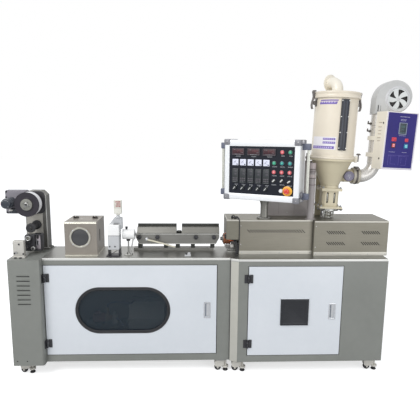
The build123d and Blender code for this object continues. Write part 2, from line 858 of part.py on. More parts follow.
# Water trough: an open channel with tapered ends on a rail, and two lids
trough_back = trough_front + trough_width
profile = make_face(Polyline(
    (trough_left, trough_rim), (trough_right, trough_rim), (trough_right, trough_rim - 30),
    (trough_right - trough_taper, trough_bottom), (trough_left + trough_taper, trough_bottom),
    (trough_left, trough_rim - 30), close=True,
))
trough = plate_y(profile, trough_front, trough_back)
trough -= block(trough_left + trough_taper + trough_wall, trough_right - trough_taper - trough_wall,
                trough_front + trough_wall, trough_back - trough_wall, trough_bottom + trough_wall,
                trough_rim + 1)
trough += block(trough_left - 20, trough_right - 42, trough_front + 20, trough_back - 20, table_z,
                table_z + rail_height)
for x in trough_feet:
    trough += block(x - trough_foot / 2, x + trough_foot / 2, trough_front + 24, trough_back - 24,
                    table_z + rail_height, trough_bottom)
for x in trough_knobs:
    knob = peg_y(x, trough_front - 22, trough_front, trough_knob_z, 5)
    knob += peg_y(x, trough_front - 22, trough_front - 8, trough_knob_z, 14)
    trough += knob
lid_axis_y = trough_back + knuckle_gap + lid_knuckle
lid_axis_z = trough_rim + lid_knuckle
for ends in (left_lid_ends, right_lid_ends):
    middle = (ends[0] + ends[1]) / 2
    for side in (-1, 1):
        near = middle + side * (lid_hinge_length / 2 + knuckle_gap)
        far = near + side * lid_hinge_length / 3
        trough += block(min(near, far), max(near, far), trough_back, lid_axis_y + lid_knuckle,
                        lid_axis_z - 3 * lid_knuckle, lid_axis_z)
pieces["trough"] = trough

lid_profile = make_face(Polyline(
    (trough_front, trough_rim + lid_gap), (trough_back - knuckle_gap, trough_rim + lid_gap),
    (trough_back - (trough_width - lid_top_width) / 2, trough_rim + lid_height),
    (trough_back - (trough_width - lid_top_width) / 2, trough_rim + lid_height + lid_bar),
    (trough_back - (trough_width - lid_top_width) / 2 - 14, trough_rim + lid_height + lid_bar),
    (trough_back - (trough_width - lid_top_width) / 2 - 14, trough_rim + lid_height),
    (trough_front + (trough_width - lid_top_width) / 2, trough_rim + lid_height),
    close=True,
))
for name, ends in (("left_lid", left_lid_ends), ("right_lid", right_lid_ends)):
    lid = Location((ends[0], 0, 0)) * extrude(Plane.YZ * lid_profile, ends[1] - ends[0])
    middle = (ends[0] + ends[1]) / 2
    start, end = middle - lid_hinge_length / 2, middle + lid_hinge_length / 2
    lid += tube_x(start, end, lid_axis_y, lid_axis_z, lid_knuckle)
    lid += block(start, end, trough_back - lid_knuckle, lid_axis_y, lid_axis_z - lid_knuckle / 2, lid_axis_z)
    pieces[name] = lid

# Post with a flange, standing on the barrel cover
post_top = panel_bottom - 0.5
post = tube_z(post_x, post_y, cover_top, post_top, post_radius)
post += tube_z(post_x, post_y, cover_top, cover_top + post_flange_thick, post_flange)
post += tube_z(post_x, post_y, post_top - 14, post_top, post_flange * 0.8)
pieces["panel_post"] = post

# Control panel: an aluminium case in a frame of its own, with its face towards -Y of that frame
panel_place = Location((post_x, post_y, panel_bottom + panel_height / 2), (0, 0, panel_turn))
face_y = -panel_face_forward
case_front = face_y - panel_recess
case_back = case_front + panel_depth
half_w = panel_width / 2
half_h = panel_height / 2
case = block(-half_w, half_w, case_front, case_back, -half_h, half_h)
case = fillet(case.edges().filter_by(Axis.Y), 8)
case -= block(-face_width / 2, face_width / 2, case_front - 1, face_y + sheet, -face_height / 2,
              face_height / 2)
for side in (-1, 1):
    for level in (-1, 1):
        u0 = side * (half_w + corner_proud)
        u1 = side * (half_w - panel_corner)
        v0 = level * (half_h + corner_proud)
        v1 = level * (half_h - panel_corner * 0.9)
        for y0, y1 in ((case_front - corner_proud, case_front + panel_corner),
                       (case_back - panel_corner, case_back + corner_proud)):
            corner = block(min(u0, u1), max(u0, u1), y0, y1, min(v0, v1), max(v0, v1))
            corner -= block(-face_width / 2, face_width / 2, case_front - 20, face_y + sheet,
                            -face_height / 2, face_height / 2)
            case += corner
handle_y = case_front + panel_depth * 0.5
for side in (-1, 1):
    inner = side * half_w
    outer = side * (half_w + handle_out)
    handle = tube_z(side * (half_w + handle_out - 14), handle_y, -handle_length / 2, handle_length / 2,
                    handle_bar)
    for level in (-1, 1):
        v0 = level * handle_length / 2
        v1 = level * (handle_length / 2 + handle_block)
        handle += block(min(inner, outer), max(inner, outer), handle_y - 18, handle_y + 18,
                        min(v0, v1), max(v0, v1))
    case += handle
pieces["panel_case"] = panel_place * case

panel_face = block(-face_width / 2, face_width / 2, face_y, face_y + sheet, -face_height / 2,
                   face_height / 2)
pieces["panel_face"] = panel_place * panel_face

controls = []


def control(u, v, width, height, proud):
    """A flat instrument on the face."""
    controls.append(block(u - width / 2, u + width / 2, face_y - proud, face_y, v - height / 2,
                          v + height / 2))


def button(u, v, radius, proud):
    """A round control on the face."""
    controls.append(peg_y(u, face_y - proud, face_y, v, radius))


for i in range(3):
    control(display_first + i * display_pitch, row_display, *display_size, control_proud)
for i in range(5):
    u = column_first + i * column_pitch
    control(u, row_meter, *meter_size, control_proud)
    control(u, row_controller, *controller_size, control_proud)
    button(u, row_knob, knob_radius, knob_proud)
for row, v in enumerate(button_rows):
    for i in range(3):
        if row > 0 or i > 0:
            button(button_first + i * button_pitch, v, button_radius, control_proud)
button(button_first + button_pitch, stop_v, button_radius, knob_proud)
stop_button = tube_y(stop_u, face_y - 4, face_y, stop_v, stop_plate)
stop_button += peg_y(stop_u, face_y - 18, face_y, stop_v, stop_radius * 0.7)
stop_button += tube_y(stop_u, face_y - 30, face_y - 18, stop_v, stop_radius)
controls.append(stop_button)
pieces["panel_controls"] = Compound(children=[panel_place * c for c in controls])

# Housing that stands on the barrel cover behind the panel, and the cable riser beside it
rear_box = upright(box_left, box_right, box_front, cover_back, cover_top, box_top, box_radius)
pieces["rear_housing"] = rear_box
riser = tube_z(riser_x, riser_y, cover_top, riser_top, riser_radius)
riser += tube_z(riser_x, riser_y, cover_top, cover_top + sheet * 2, riser_flange)
pieces["cable_riser"] = riser

# Hopper dryer. Everything here is drawn about the hopper's own axis, with 0 at the slide gate
dryer = Location((dryer_x, dryer_y, dryer_z), (0, dryer_lean, 0))
ring_low = body_bottom - lower_ring_height
ring_split = ring_low + lower_ring_height / 2


def turned(*points):
    """A body of revolution about the hopper's axis, from radius and height pairs."""
    return revolve(Plane.XZ * make_face(Polyline(*points, close=True)), Axis.Z)


cone = turned(
    (cone_radius, cone_bottom), (body_radius - 8, ring_low - 4), (lower_ring_radius, ring_low - 4),
    (lower_ring_radius, ring_split), (body_radius - hopper_wall - 8, ring_split),
    (body_radius - hopper_wall - 8, ring_low), (cone_radius - hopper_wall, cone_bottom),
)
stub_end = inlet_reach
stub = tube_x(0, stub_end, 0, pipe_z, pipe_radius)
inside = turned(
    (0, cone_bottom), (cone_radius - hopper_wall, cone_bottom),
    (body_radius - hopper_wall - 8, ring_low), (0, ring_low),
)
cone += stub - inside
damper = tube_y(damper_x, -pipe_radius - damper_proud, -pipe_radius - 6, pipe_z, damper_radius)
cone += damper + block(damper_x - damper_radius / 2, damper_x + damper_radius / 2, -pipe_radius - 6,
                       -pipe_radius / 2, pipe_z - damper_radius / 2, pipe_z + damper_radius / 2)
cone -= tube_x(0, stub_end + 1, 0, pipe_z, pipe_radius - hopper_wall)
pieces["hopper_cone"] = dryer * cone

body = turned(
    (body_radius - hopper_wall, ring_split), (lower_ring_radius, ring_split),
    (lower_ring_radius, body_bottom), (body_radius, body_bottom),
    (body_radius, body_top), (body_radius - hopper_wall, body_top),
)
pieces["hopper_body"] = dryer * body

lid_top = body_top + lid_ring_height
lid = turned(
    (0, body_top), (lid_ring_radius, body_top), (lid_ring_radius, lid_top),
    (lid_ring_radius - lid_shoulder, lid_top + sheet), (lid_boss, lid_top + sheet),
    (lid_boss, lid_top + lid_dome), (0, lid_top + lid_dome),
)
lid_crown = lid_top + lid_dome
elbow_plane = Plane((0, 0, 0), x_dir=(cos(radians(90 + elbow_turn)), sin(radians(90 + elbow_turn)), 0),
                    z_dir=(sin(radians(90 + elbow_turn)), -cos(radians(90 + elbow_turn)), 0))
elbow_end = (elbow_bend + elbow_run, lid_crown + elbow_rise + elbow_bend)
elbow_path = elbow_plane * Polyline(
    (0, lid_crown - 4), *bend_corners(elbow_bend, lid_crown + elbow_rise, elbow_bend, 180, -90), elbow_end)
elbow = sweep(Location((0, 0, lid_crown - 4)) * Circle(elbow_radius), path=elbow_path,
              transition=Transition.RIGHT)
mouth = elbow_plane * Location((*elbow_end, 0), (0, 90, 0))
elbow += mouth * Cylinder(elbow_flange, 8, align=(Align.CENTER, Align.CENTER, Align.MIN))
elbow -= mouth * Location((0, 0, 10 - elbow_run)) * Cylinder(elbow_radius - hopper_wall, 2 * elbow_run, align=(
    Align.CENTER, Align.CENTER, Align.MIN))
pieces["hopper_lid"] = dryer * (lid + elbow)

sight = block(-sight_width / 2, sight_width / 2, -body_radius - 10, -body_radius + 8, sight_bottom,
              sight_bottom + sight_height)
sight = Location((0, 0, 0), (0, 0, sight_turn)) * sight
pieces["sight_glass"] = dryer * (sight - tube_z(0, 0, body_bottom, body_top, body_radius + fit))


def clamp(azimuth, low, high, reach):
    """A toggle clamp: a bowed lever beside the ring with its hook on top."""
    solid = block(reach, reach + 12, -13, 13, low, high)
    solid += block(reach - clamp_hook, reach + 6, -13, 13, high - 10, high)
    solid += block(reach, reach + 20, -8, 8, low + (high - low) * 0.3, low + (high - low) * 0.7)
    return Location((0, 0, 0), (0, 0, azimuth)) * solid


clamps = [clamp(a, body_top - 80, lid_top + 13, lid_ring_radius + fit) for a in (5, 95, 185)]
clamps.append(clamp(180, ring_low - 14, body_bottom + 10 + fit, lower_ring_radius + fit))
clamps.append(clamp(-8, ring_low - 8, body_bottom + 10 + fit, lower_ring_radius + fit))
pieces["hopper_clamps"] = Compound(children=[dryer * c for c in clamps])

# Hopper base: a flange, a ribbed neck and a base plate, bored through for the pellets
neck = block(-neck_width / 2, neck_width / 2, -neck_width / 2, neck_width / 2, neck_bottom / 2, neck_top)
neck = chamfer(neck.edges().filter_by(Axis.Z), neck_corner)
for turn in range(4):
    for side in (-1, 1):
        slot = block(side * 26 - 7, side * 26 + 7, -neck_width / 2 - 1, -neck_width / 2 + 12,
                     neck_bottom + 12, neck_top - 12)
        neck -= Location((0, 0, 0), (0, 0, 90 * turn)) * slot
half_flange = neck_flange / 2
base = neck + block(-half_flange, half_flange, -half_flange, half_flange, neck_top,
                    neck_top + neck_flange_thick / 2)
base += tube_z(0, 0, neck_top + neck_flange_thick / 2, cone_bottom, cone_radius)
base += block(-base_plate / 2, base_plate / 2, -base_plate / 2, base_plate / 2, 0, neck_bottom / 2)
base -= tube_z(0, 0, -1, cone_bottom + 1, feed_bore)
pieces["hopper_base"] = dryer * base

# Slide gate in its guides, and the throat that stands on the drive cover
gate_top = -gate_play
gate_bottom = gate_top - gate_thick
gate = block(-gate_length / 2, gate_length / 2, -gate_width / 2, gate_width / 2, gate_bottom, gate_top)
gate += block(gate_length / 2 - 6, gate_length / 2, -gate_width / 2, gate_width / 2, gate_bottom - 14, gate_top)
pieces["slide_gate"] = dryer * (Location((22, 0, 0)) * gate)
flange_top = gate_bottom - gate_play
throat = tube_z(0, 0, flange_top - throat_flange_thick, flange_top, throat_flange)
throat -= block(throat_flange - 10, throat_flange + 20, -gate_width, gate_width, flange_top - 30, flange_top)
for side in (-1, 1):
    guide_y = side * (gate_width / 2 + gate_play + 8)
    throat += block(-throat_flange * 0.75, throat_flange * 0.75, guide_y - 8, guide_y + 8, flange_top, 0)
throat += tube_z(0, 0, cover_top - dryer_z - 20, flange_top, throat_radius)
throat -= tube_z(0, 0, cover_top - dryer_z - 30, flange_top + 1, feed_bore - 8)
throat = dryer * throat
throat -= block(dryer_x - throat_flange, dryer_x + throat_flange, dryer_y - throat_flange,
                dryer_y + throat_flange, cover_top - throat_flange, cover_top)
pieces["feed_throat"] = throat

# Stay behind the neck, from the drive cover up to the cone
stay = block(stay_left, stay_right, stay_back - stay_thick, stay_back, cover_top, dryer_z + ring_low - 20)
outer_cone = turned(
    (0, cone_bottom - 8), (cone_radius + fit, cone_bottom), (body_radius - 8 + fit, ring_low - 4),
    (body_radius + fit, ring_low + 10), (0, ring_low + 10),
)
stay = (stay - dryer * outer_cone).solids().sort_by(Axis.Z)[0]
pieces["hopper_stay"] = stay

# Air inlet on the cone, the pipe up to the blower, and the blower's scroll
inlet_end = inlet_reach + 2 * inlet_flange_thick
inlet = tube_x(inlet_reach, inlet_end, 0, pipe_z, inlet_flange)
inlet -= tube_x(inlet_reach + inlet_flange_thick - 3, inlet_reach + inlet_flange_thick + 3, 0, pipe_z,
                inlet_flange + 1) - tube_x(inlet_reach, inlet_end, 0, pipe_z, inlet_flange - 7)
inlet -= tube_x(inlet_reach - 1, inlet_end + 1, 0, pipe_z, pipe_radius - hopper_wall)
pipe_start = Location((inlet_end, 0, pipe_z), (0, 90, 0))
pipe_path = Plane.XZ * Polyline(
    (inlet_end, pipe_z), *bend_corners(duct_x - pipe_bend, pipe_z + pipe_bend, pipe_bend, -90, 90),
    (duct_x, duct_top))
pipe = sweep(pipe_start * Circle(pipe_radius), path=pipe_path, transition=Transition.RIGHT)
for z in clamp_z:
    pipe += tube_z(duct_x, 0, z - 12, z + 12, pipe_radius + 5)
    pipe += peg_x(duct_x - pipe_radius - 26, duct_x - pipe_radius, 0, z, 6)
pipe += inlet
pieces["blower_pipe"] = dryer * pipe

scroll_points = []
for i in range(2 * scroll_arcs + 1):
    t = i / (2 * scroll_arcs)
    angle = radians(-90 + 270 * t)
    reach = blower_inner + blower_growth * t
    scroll_points.append((blower_x + reach * cos(angle), blower_z + reach * sin(angle)))
scroll = Curve() + [ThreePointArc(*scroll_points[i:i + 3]) for i in range(0, 2 * scroll_arcs, 2)]
duct_left = scroll_points[-1][0]
scroll_sides = Polyline(
    scroll_points[-1], (duct_left, duct_top), (duct_left + 2 * pipe_radius, duct_top),
    (duct_left + 2 * pipe_radius, blower_z - blower_inner), scroll_points[0],
)
half_blower = blower_depth / 2
blower = plate_y(make_face(scroll + scroll_sides), -half_blower, half_blower)
blower += tube_y(blower_x, -half_blower - 8, -half_blower, blower_z, blower_eye + 10)
blower -= tube_y(blower_x, -half_blower - 9, -half_blower + 24, blower_z, blower_eye)
blower += tube_y(blower_x, half_blower, half_blower + 96, blower_z, 62)
blower += tube_y(blower_x, -half_blower - 4, -half_blower + 24, blower_z, 10)

shutter_y = -half_blower - 6
shutter = tube_y(blower_x, shutter_y, shutter_y + 2, blower_z, blower_eye - fit)
blade = make_face(Polyline((16, 4), (44, 6), (70, 26), (74, 8), (46, -8), (16, -4), close=True))
for i in range(shutter_blades):
    opening = plate_y(Location((blower_x, blower_z), (0, 0, 360 / shutter_blades * i + 20)) * blade,
                      shutter_y - 1, shutter_y + 3)
    shutter -= opening
shutter += peg_y(blower_x, shutter_y - 3, shutter_y, blower_z, 9)
pieces["blower"] = dryer * (blower + shutter)

# Dryer control box, carried on two arms from the pipe
ctrl_place = Location((ctrl_x, ctrl_y, ctrl_z), (0, ctrl_roll, ctrl_turn))
ctrl = block(-ctrl_width / 2, ctrl_width / 2, 0, ctrl_depth, -ctrl_height / 2, ctrl_height / 2)
ctrl = fillet(ctrl.edges().filter_by(Axis.Z), 5)
arms = Part()
for level in arm_levels:
    arms += block(arm_left, arm_left + arm_width, ctrl_depth, ctrl_depth + arm_reach, level,
                  level + arm_height)
arms = ctrl_place * arms
arms -= tube_z(duct_x, 0, pipe_z, duct_top, pipe_radius + fit)
arms = Compound(children=[a for a in arms.solids() if a.center().Y < 0])
pieces["dryer_control_box"] = dryer * (ctrl_place * ctrl + arms)

# The origin goes to the middle of the footprint, on the floor
boxes = [solid.bounding_box() for solid in pieces.values()]
home_x = -(min(b.min.X for b in boxes) + max(b.max.X for b in boxes)) / 2
home_y = -(min(b.min.Y for b in boxes) + max(b.max.Y for b in boxes)) / 2
home = Location((home_x, home_y, 0))
for name, solid in pieces.items():
    export_step(home * solid, f"parts/{name}.step")
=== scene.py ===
import bmesh
import bpy
import numpy as np
from mathutils import Matrix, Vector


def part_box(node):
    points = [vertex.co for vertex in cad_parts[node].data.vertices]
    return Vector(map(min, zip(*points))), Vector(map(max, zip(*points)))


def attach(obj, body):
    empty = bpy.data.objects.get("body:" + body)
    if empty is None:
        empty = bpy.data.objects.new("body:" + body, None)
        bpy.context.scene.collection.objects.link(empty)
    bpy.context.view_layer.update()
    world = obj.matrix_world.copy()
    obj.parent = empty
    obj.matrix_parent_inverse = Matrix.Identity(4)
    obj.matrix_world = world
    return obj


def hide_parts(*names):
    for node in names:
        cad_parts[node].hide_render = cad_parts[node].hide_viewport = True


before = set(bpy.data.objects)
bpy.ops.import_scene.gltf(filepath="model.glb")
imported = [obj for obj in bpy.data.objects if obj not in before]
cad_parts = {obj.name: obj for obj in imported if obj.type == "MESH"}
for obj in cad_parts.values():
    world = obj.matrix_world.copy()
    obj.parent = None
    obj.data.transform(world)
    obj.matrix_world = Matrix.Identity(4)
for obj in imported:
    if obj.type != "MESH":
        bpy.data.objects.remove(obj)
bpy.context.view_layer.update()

# Camera. The machine was photographed from a little left of its middle, 1.73 m above the floor and
# 3 m in front of the cabinets. Drawings measure in millimetres from the winder end, the left
# cabinet's front and the floor; the frame measures in metres from the middle of the footprint.
table_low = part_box("table_tops")[0]
HOME = np.array([table_low[0] * 1000 - 224, table_low[1] * 1000 + 39, 0.0])
eye = np.array([1284.8, -3012.5, 1730.7])
yaw, pitch, roll = np.radians([2.3668, 9.3724, 0.5510])
ahead = np.array([np.sin(yaw) * np.cos(pitch), np.cos(yaw) * np.cos(pitch), -np.sin(pitch)])
level = np.array([np.cos(yaw), -np.sin(yaw), 0.0])
over = np.cross(level, ahead)
right = np.cos(roll) * level + np.sin(roll) * over
above = np.cos(roll) * over - np.sin(roll) * level
camera = bpy.data.objects.new("camera", bpy.data.cameras.new("camera"))
bpy.context.scene.collection.objects.link(camera)
camera.data.sensor_width = 36
camera.data.lens = 36 * 434.4 / 420
camera.data.clip_end = 100
turned = Matrix(np.column_stack([right, above, -ahead]).tolist()).to_4x4()
camera.matrix_world = Matrix.Translation(((eye + HOME) / 1000).tolist()) @ turned
bpy.context.scene.camera = camera
bpy.context.scene.view_settings.view_transform = "Standard"


# Floor, room and lamps. The floor is white and reads as paper; the room is a plain pale studio.
# A broad lamp stands high on the left in front, a second one fills from the right, and a weak one
# stands low in front of the right cabinet.
class Wire:
    """One socket of a shader. Arithmetic on it adds the Math node that works it out."""

    def __init__(self, tree, socket):
        self.tree = tree
        self.socket = socket

    def add(self, kind, settings=None, inputs=None, out=0):
        """Adds a node: its settings first, then the values or links of its sockets."""
        node = self.tree.nodes.new(kind)
        for key, value in (settings or {}).items():
            if key == "stops":
                ramp = node.color_ramp
                while len(ramp.elements) < len(value):
                    ramp.elements.new(0.5)
                for element, (position, colour) in zip(ramp.elements, value):
                    element.position = position
                    element.color = (*colour, 1)
            else:
                setattr(node, key, value)
        for key, value in (inputs or {}).items():
            if isinstance(value, Wire):
                self.tree.links.new(value.socket, node.inputs[key])
            else:
                node.inputs[key].default_value = value
        return Wire(self.tree, node.outputs[out])

    def math(self, operation, *values):
        return self.add("ShaderNodeMath", {"operation": operation}, dict(enumerate(values)))

    def __add__(self, other):
        return self.math("ADD", self, other)

    def __sub__(self, other):
        return self.math("SUBTRACT", self, other)

    def __mul__(self, other):
        return self.math("MULTIPLY", self, other)

    def __truediv__(self, other):
        return self.math("DIVIDE", self, other)

    def __rsub__(self, other):
        return self.math("SUBTRACT", other, self)

    __radd__ = __add__
    __rmul__ = __mul__


def new_material(name):
    """A material with its surface output, and a first wire to start a tree from."""
    material = bpy.data.materials.new(name)
    material.use_nodes = True
    tree = material.node_tree
    tree.nodes.clear()
    output = tree.nodes.new("ShaderNodeOutputMaterial")
    return material, output, Wire(tree, None)


floor_finish, floor_output, start = new_material("white floor")
light_path = start.add("ShaderNodeLightPath")
seen = Wire(start.tree, light_path.socket.node.outputs["Is Camera Ray"])
lit = start.add("ShaderNodeBsdfDiffuse", inputs={"Color": (0.86, 0.86, 0.86, 1)})
glow = start.add("ShaderNodeEmission", inputs={"Color": (1, 1, 1, 1), "Strength": 0.62})
paper = start.add("ShaderNodeAddShader", inputs={0: lit, 1: glow})
bounce = start.add("ShaderNodeBsdfDiffuse", inputs={"Color": (0.7, 0.7, 0.7, 1)})
shown = start.add("ShaderNodeMixShader", inputs={0: seen, 1: bounce, 2: paper})
start.tree.links.new(shown.socket, floor_output.inputs["Surface"])

span = np.linspace(-30, 30, 9)
corners = np.stack(np.meshgrid(span, span, [0.0], indexing="ij"), -1).reshape(-1, 3)
index = np.arange(81).reshape(9, 9)
quads = np.stack([index[:-1, :-1], index[1:, :-1], index[1:, 1:], index[:-1, 1:]], -1).reshape(-1, 4)
floor_mesh = bpy.data.meshes.new("floor")
floor_mesh.from_pydata(corners.tolist(), [], quads.tolist())
floor_mesh.materials.append(floor_finish)
floor = bpy.data.objects.new("floor", floor_mesh)
bpy.context.scene.collection.objects.link(floor)

world = bpy.data.worlds.new("room")
bpy.context.scene.world = world
world.use_nodes = True
sky = Wire(world.node_tree, None)
world.node_tree.nodes.clear()
world_output = world.node_tree.nodes.new("ShaderNodeOutputWorld")
path = sky.add("ShaderNodeLightPath").socket.node
direct = Wire(world.node_tree, path.outputs["Is Camera Ray"])
mirrored = Wire(world.node_tree, path.outputs["Is Glossy Ray"])
through = Wire(world.node_tree, path.outputs["Is Transmission Ray"])
plain = sky.add("ShaderNodeBackground", inputs={"Color": (0.93, 0.96, 1.0, 1), "Strength": 0.62})
white = sky.add("ShaderNodeBackground", inputs={"Color": (1, 1, 1, 1), "Strength": 1.0})
which = direct.math("MAXIMUM", direct, mirrored.math("MAXIMUM", mirrored, through))
both = sky.add("ShaderNodeMixShader", inputs={0: which, 1: plain, 2: white})
world.node_tree.links.new(both.socket, world_output.inputs["Surface"])


def lamp(name, place, aim, size, power):
    """A square area lamp at place, in metres, that points at aim."""
    light = bpy.data.lights.new(name, "AREA")
    light.size = size
    light.energy = power
    holder = bpy.data.objects.new(name, light)
    bpy.context.scene.collection.objects.link(holder)
    away = np.array(place, float) - np.array(aim, float)
    away /= np.linalg.norm(away)
    side = np.cross([0.0, 0.0, 1.0], away)
    side /= np.linalg.norm(side)
    basis = Matrix(np.column_stack([side, np.cross(away, side), away]).tolist()).to_4x4()
    holder.matrix_world = Matrix.Translation(place) @ basis


lamp("key", (-2.9, -3.3, 4.4), (0.1, 0.0, 0.9), 3.0, 172)
lamp("fill", (3.2, -3.9, 2.6), (0.3, 0.0, 1.0), 3.0, 22)
lamp("low", (2.4, -3.1, 0.9), (1.9, 0.1, 1.1), 2.0, 19)


# Levelling casters under the cabinets' corners: a plate, a pale die-cast body with a black nylon
# wheel in it, and beside it a thumbwheel that screws a rubber foot down to the floor.
def outline(width, height, radius, steps=6):
    """A rounded rectangle about the origin: four quarter circles, each steps + 1 points."""
    radius = min(radius, width / 2, height / 2)
    angle = np.radians(np.linspace(0, 90, steps + 1))
    arc = radius * np.stack([np.cos(angle), np.sin(angle)], -1)
    corner = np.array([width / 2 - radius, height / 2 - radius])
    quarters = []
    for k, sign in enumerate(((1, 1), (-1, 1), (-1, -1), (1, -1))):
        c, s = (1, 0, -1, 0)[k], (0, 1, 0, -1)[k]
        quarters.append(arc @ np.array([[c, s], [-s, c]]) + corner * sign)
    return np.concatenate(quarters)


def strips(rows, columns, wrap_rows=False, wrap_columns=False):
    """Corner numbers of the quads on a grid of rows by columns, joined round where asked."""
    number = np.arange(rows * columns).reshape(rows, columns)
    if wrap_rows:
        number = np.vstack([number, number[:1]])
    if wrap_columns:
        number = np.hstack([number, number[:, :1]])
    return np.stack([number[:-1, :-1], number[:-1, 1:], number[1:, 1:], number[1:, :-1]], -1).reshape(-1, 4)


def loft(rings, closed=False):
    """A skin through (outline, height) rings along w: capped flat, or closed on itself."""
    points = np.concatenate([np.column_stack([ring, np.full(len(ring), w)]) for ring, w in rings])
    count = len(rings[0][0])
    faces = strips(len(rings), count, closed, True).tolist()
    if not closed:
        faces.append(list(range(count))[::-1])
        faces.append(list(range(len(points) - count, len(points))))
    return points, faces


def slab(width, height, depth, radius=2.0, edge=1.0, base=0.0, steps=4):
    """A plate on the (u, v) plane, w from base up by depth, its front rim a quarter circle."""
    edge = min(edge, abs(depth) * 0.9, width / 2.2, height / 2.2)
    rings = [(outline(width, height, radius, steps), base)]
    for angle in np.radians([0, 30, 60, 90]):
        inset = edge * (1 - np.cos(angle))
        ring = outline(width - 2 * inset, height - 2 * inset, max(radius - inset, 0.05), steps)
        rings.append((ring, base + depth - edge + edge * np.sin(angle)))
    return loft(rings)


def turned_skin(profile, steps=32, closed=False):
    """A turned body about w: each (radius, height) pair becomes a circle of 4 times steps / 4."""
    rings = [(outline(2 * r, 2 * r, r, max(steps // 4, 2)), w) for r, w in profile]
    return loft(rings, closed)


def spot(x, y, z, u=(1, 0, 0), v=(0, 0, 1)):
    """The place of a local (u, v, w) system in the machine, w standing square on u and v."""
    u, v = np.array(u, float), np.array(v, float)
    u /= np.linalg.norm(u)
    v /= np.linalg.norm(v)
    place = np.eye(4)
    place[:3, :3] = np.column_stack([u, v, np.cross(u, v)])
    place[:3, 3] = (x, y, z)
    return place


def put(place, *skins):
    """The skins moved to a place, as one skin."""
    points, faces, start_at = [], [], 0
    for skin_points, skin_faces in skins:
        points.append(skin_points @ place[:3, :3].T + place[:3, 3])
        faces += [[number + start_at for number in face] for face in skin_faces]
        start_at += len(skin_points)
    return np.concatenate(points), faces


def piece(name, finish, skins, body="machine", smooth=35, stands_for=()):
    """One object from skins in machine millimetres: doubles merged, faces outwards, riding on a body."""
    points, faces = put(np.eye(4), *skins)
    mesh = bpy.data.meshes.new(name)
    mesh.from_pydata(((points + HOME) / 1000).tolist(), [], faces)
    shape = bmesh.new()
    shape.from_mesh(mesh)
    bmesh.ops.remove_doubles(shape, verts=shape.verts, dist=2e-6)
    bmesh.ops.dissolve_degenerate(shape, edges=shape.edges, dist=2e-6)
    bmesh.ops.recalc_face_normals(shape, faces=shape.faces)
    shape.to_mesh(mesh)
    shape.free()
    mesh.shade_smooth()
    mesh.set_sharp_from_angle(angle=np.radians(smooth))
    mesh.materials.append(finish)
    thing = bpy.data.objects.new(name, mesh)
    bpy.context.scene.collection.objects.link(thing)
    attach(thing, body)
    if stands_for:
        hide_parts(*stands_for)
    return thing


def coat(name, dark, light, rough, grain=1400.0, bite=0.12, metal=0.0, patch=2.2, clear=0.0, specular=0.5):
    """A sprayed or moulded finish: two colours mixed in broad soft patches, with a fine-grained bump."""
    material, output, start = new_material(name)
    where = Wire(start.tree, start.add("ShaderNodeTexCoord").socket.node.outputs["Object"])
    cloud = start.add("ShaderNodeTexNoise", inputs={"Vector": where, "Scale": patch, "Detail": 4.0})
    grit = start.add("ShaderNodeTexNoise", inputs={"Vector": where, "Scale": grain, "Detail": 2.0})
    rub = start.add("ShaderNodeTexNoise", inputs={"Vector": where, "Scale": patch * 9, "Detail": 6.0})
    mix = (cloud - 0.5) * 1.6 + (grit - 0.5) * 0.35 + (rub - 0.5) * 0.5 + 0.5
    colour = start.add(
        "ShaderNodeMix", {"data_type": "RGBA"}, {"Factor": mix, "A": (*dark, 1), "B": (*light, 1)}, out=2
    )
    bump = start.add("ShaderNodeBump", inputs={"Height": grit, "Strength": bite, "Distance": 0.0004})
    surface = start.add(
        "ShaderNodeBsdfPrincipled",
        inputs={
            "Base Color": colour,
            "Roughness": (rub - 0.5) * 0.16 + rough,
            "Metallic": metal,
            "Normal": bump,
            "Coat Weight": clear,
            "Coat Roughness": 0.08,
            "Specular IOR Level": specular,
        },
    )
    start.tree.links.new(surface.socket, output.inputs["Surface"])
    return material


def brushed(name, dark, light, rough, along=(1, 0, 0), fine=900.0, bite=0.1, tint=1.0, patch=1.4):
    """Sheet metal with a grain: noise stretched 60 times along one way drives colour, gloss and bump."""
    material, output, start = new_material(name)
    where = Wire(start.tree, start.add("ShaderNodeTexCoord").socket.node.outputs["Object"])
    squeeze = tuple(fine * (1 / 60 if a else 1.0) for a in along)
    stretched = start.add("ShaderNodeMapping", inputs={"Vector": where, "Scale": squeeze})
    hair = start.add("ShaderNodeTexNoise", inputs={"Vector": stretched, "Scale": 1.0, "Detail": 3.0})
    cloud = start.add("ShaderNodeTexNoise", inputs={"Vector": where, "Scale": patch, "Detail": 3.0})
    smear = start.add("ShaderNodeTexNoise", inputs={"Vector": where, "Scale": patch * 12, "Detail": 5.0})
    mix = (hair - 0.5) * 1.1 + (cloud - 0.5) * 1.5 + (smear - 0.5) * 0.4 + 0.5
    colour = start.add(
        "ShaderNodeMix", {"data_type": "RGBA"}, {"Factor": mix, "A": (*dark, 1), "B": (*light, 1)}, out=2
    )
    bump = start.add("ShaderNodeBump", inputs={"Height": hair, "Strength": bite, "Distance": 0.0003})
    surface = start.add(
        "ShaderNodeBsdfPrincipled",
        inputs={
            "Base Color": colour,
            "Roughness": (hair - 0.5) * 0.14 + (smear - 0.5) * 0.12 + rough,
            "Metallic": tint,
            "Normal": bump,
        },
    )
    start.tree.links.new(surface.socket, output.inputs["Surface"])
    return material


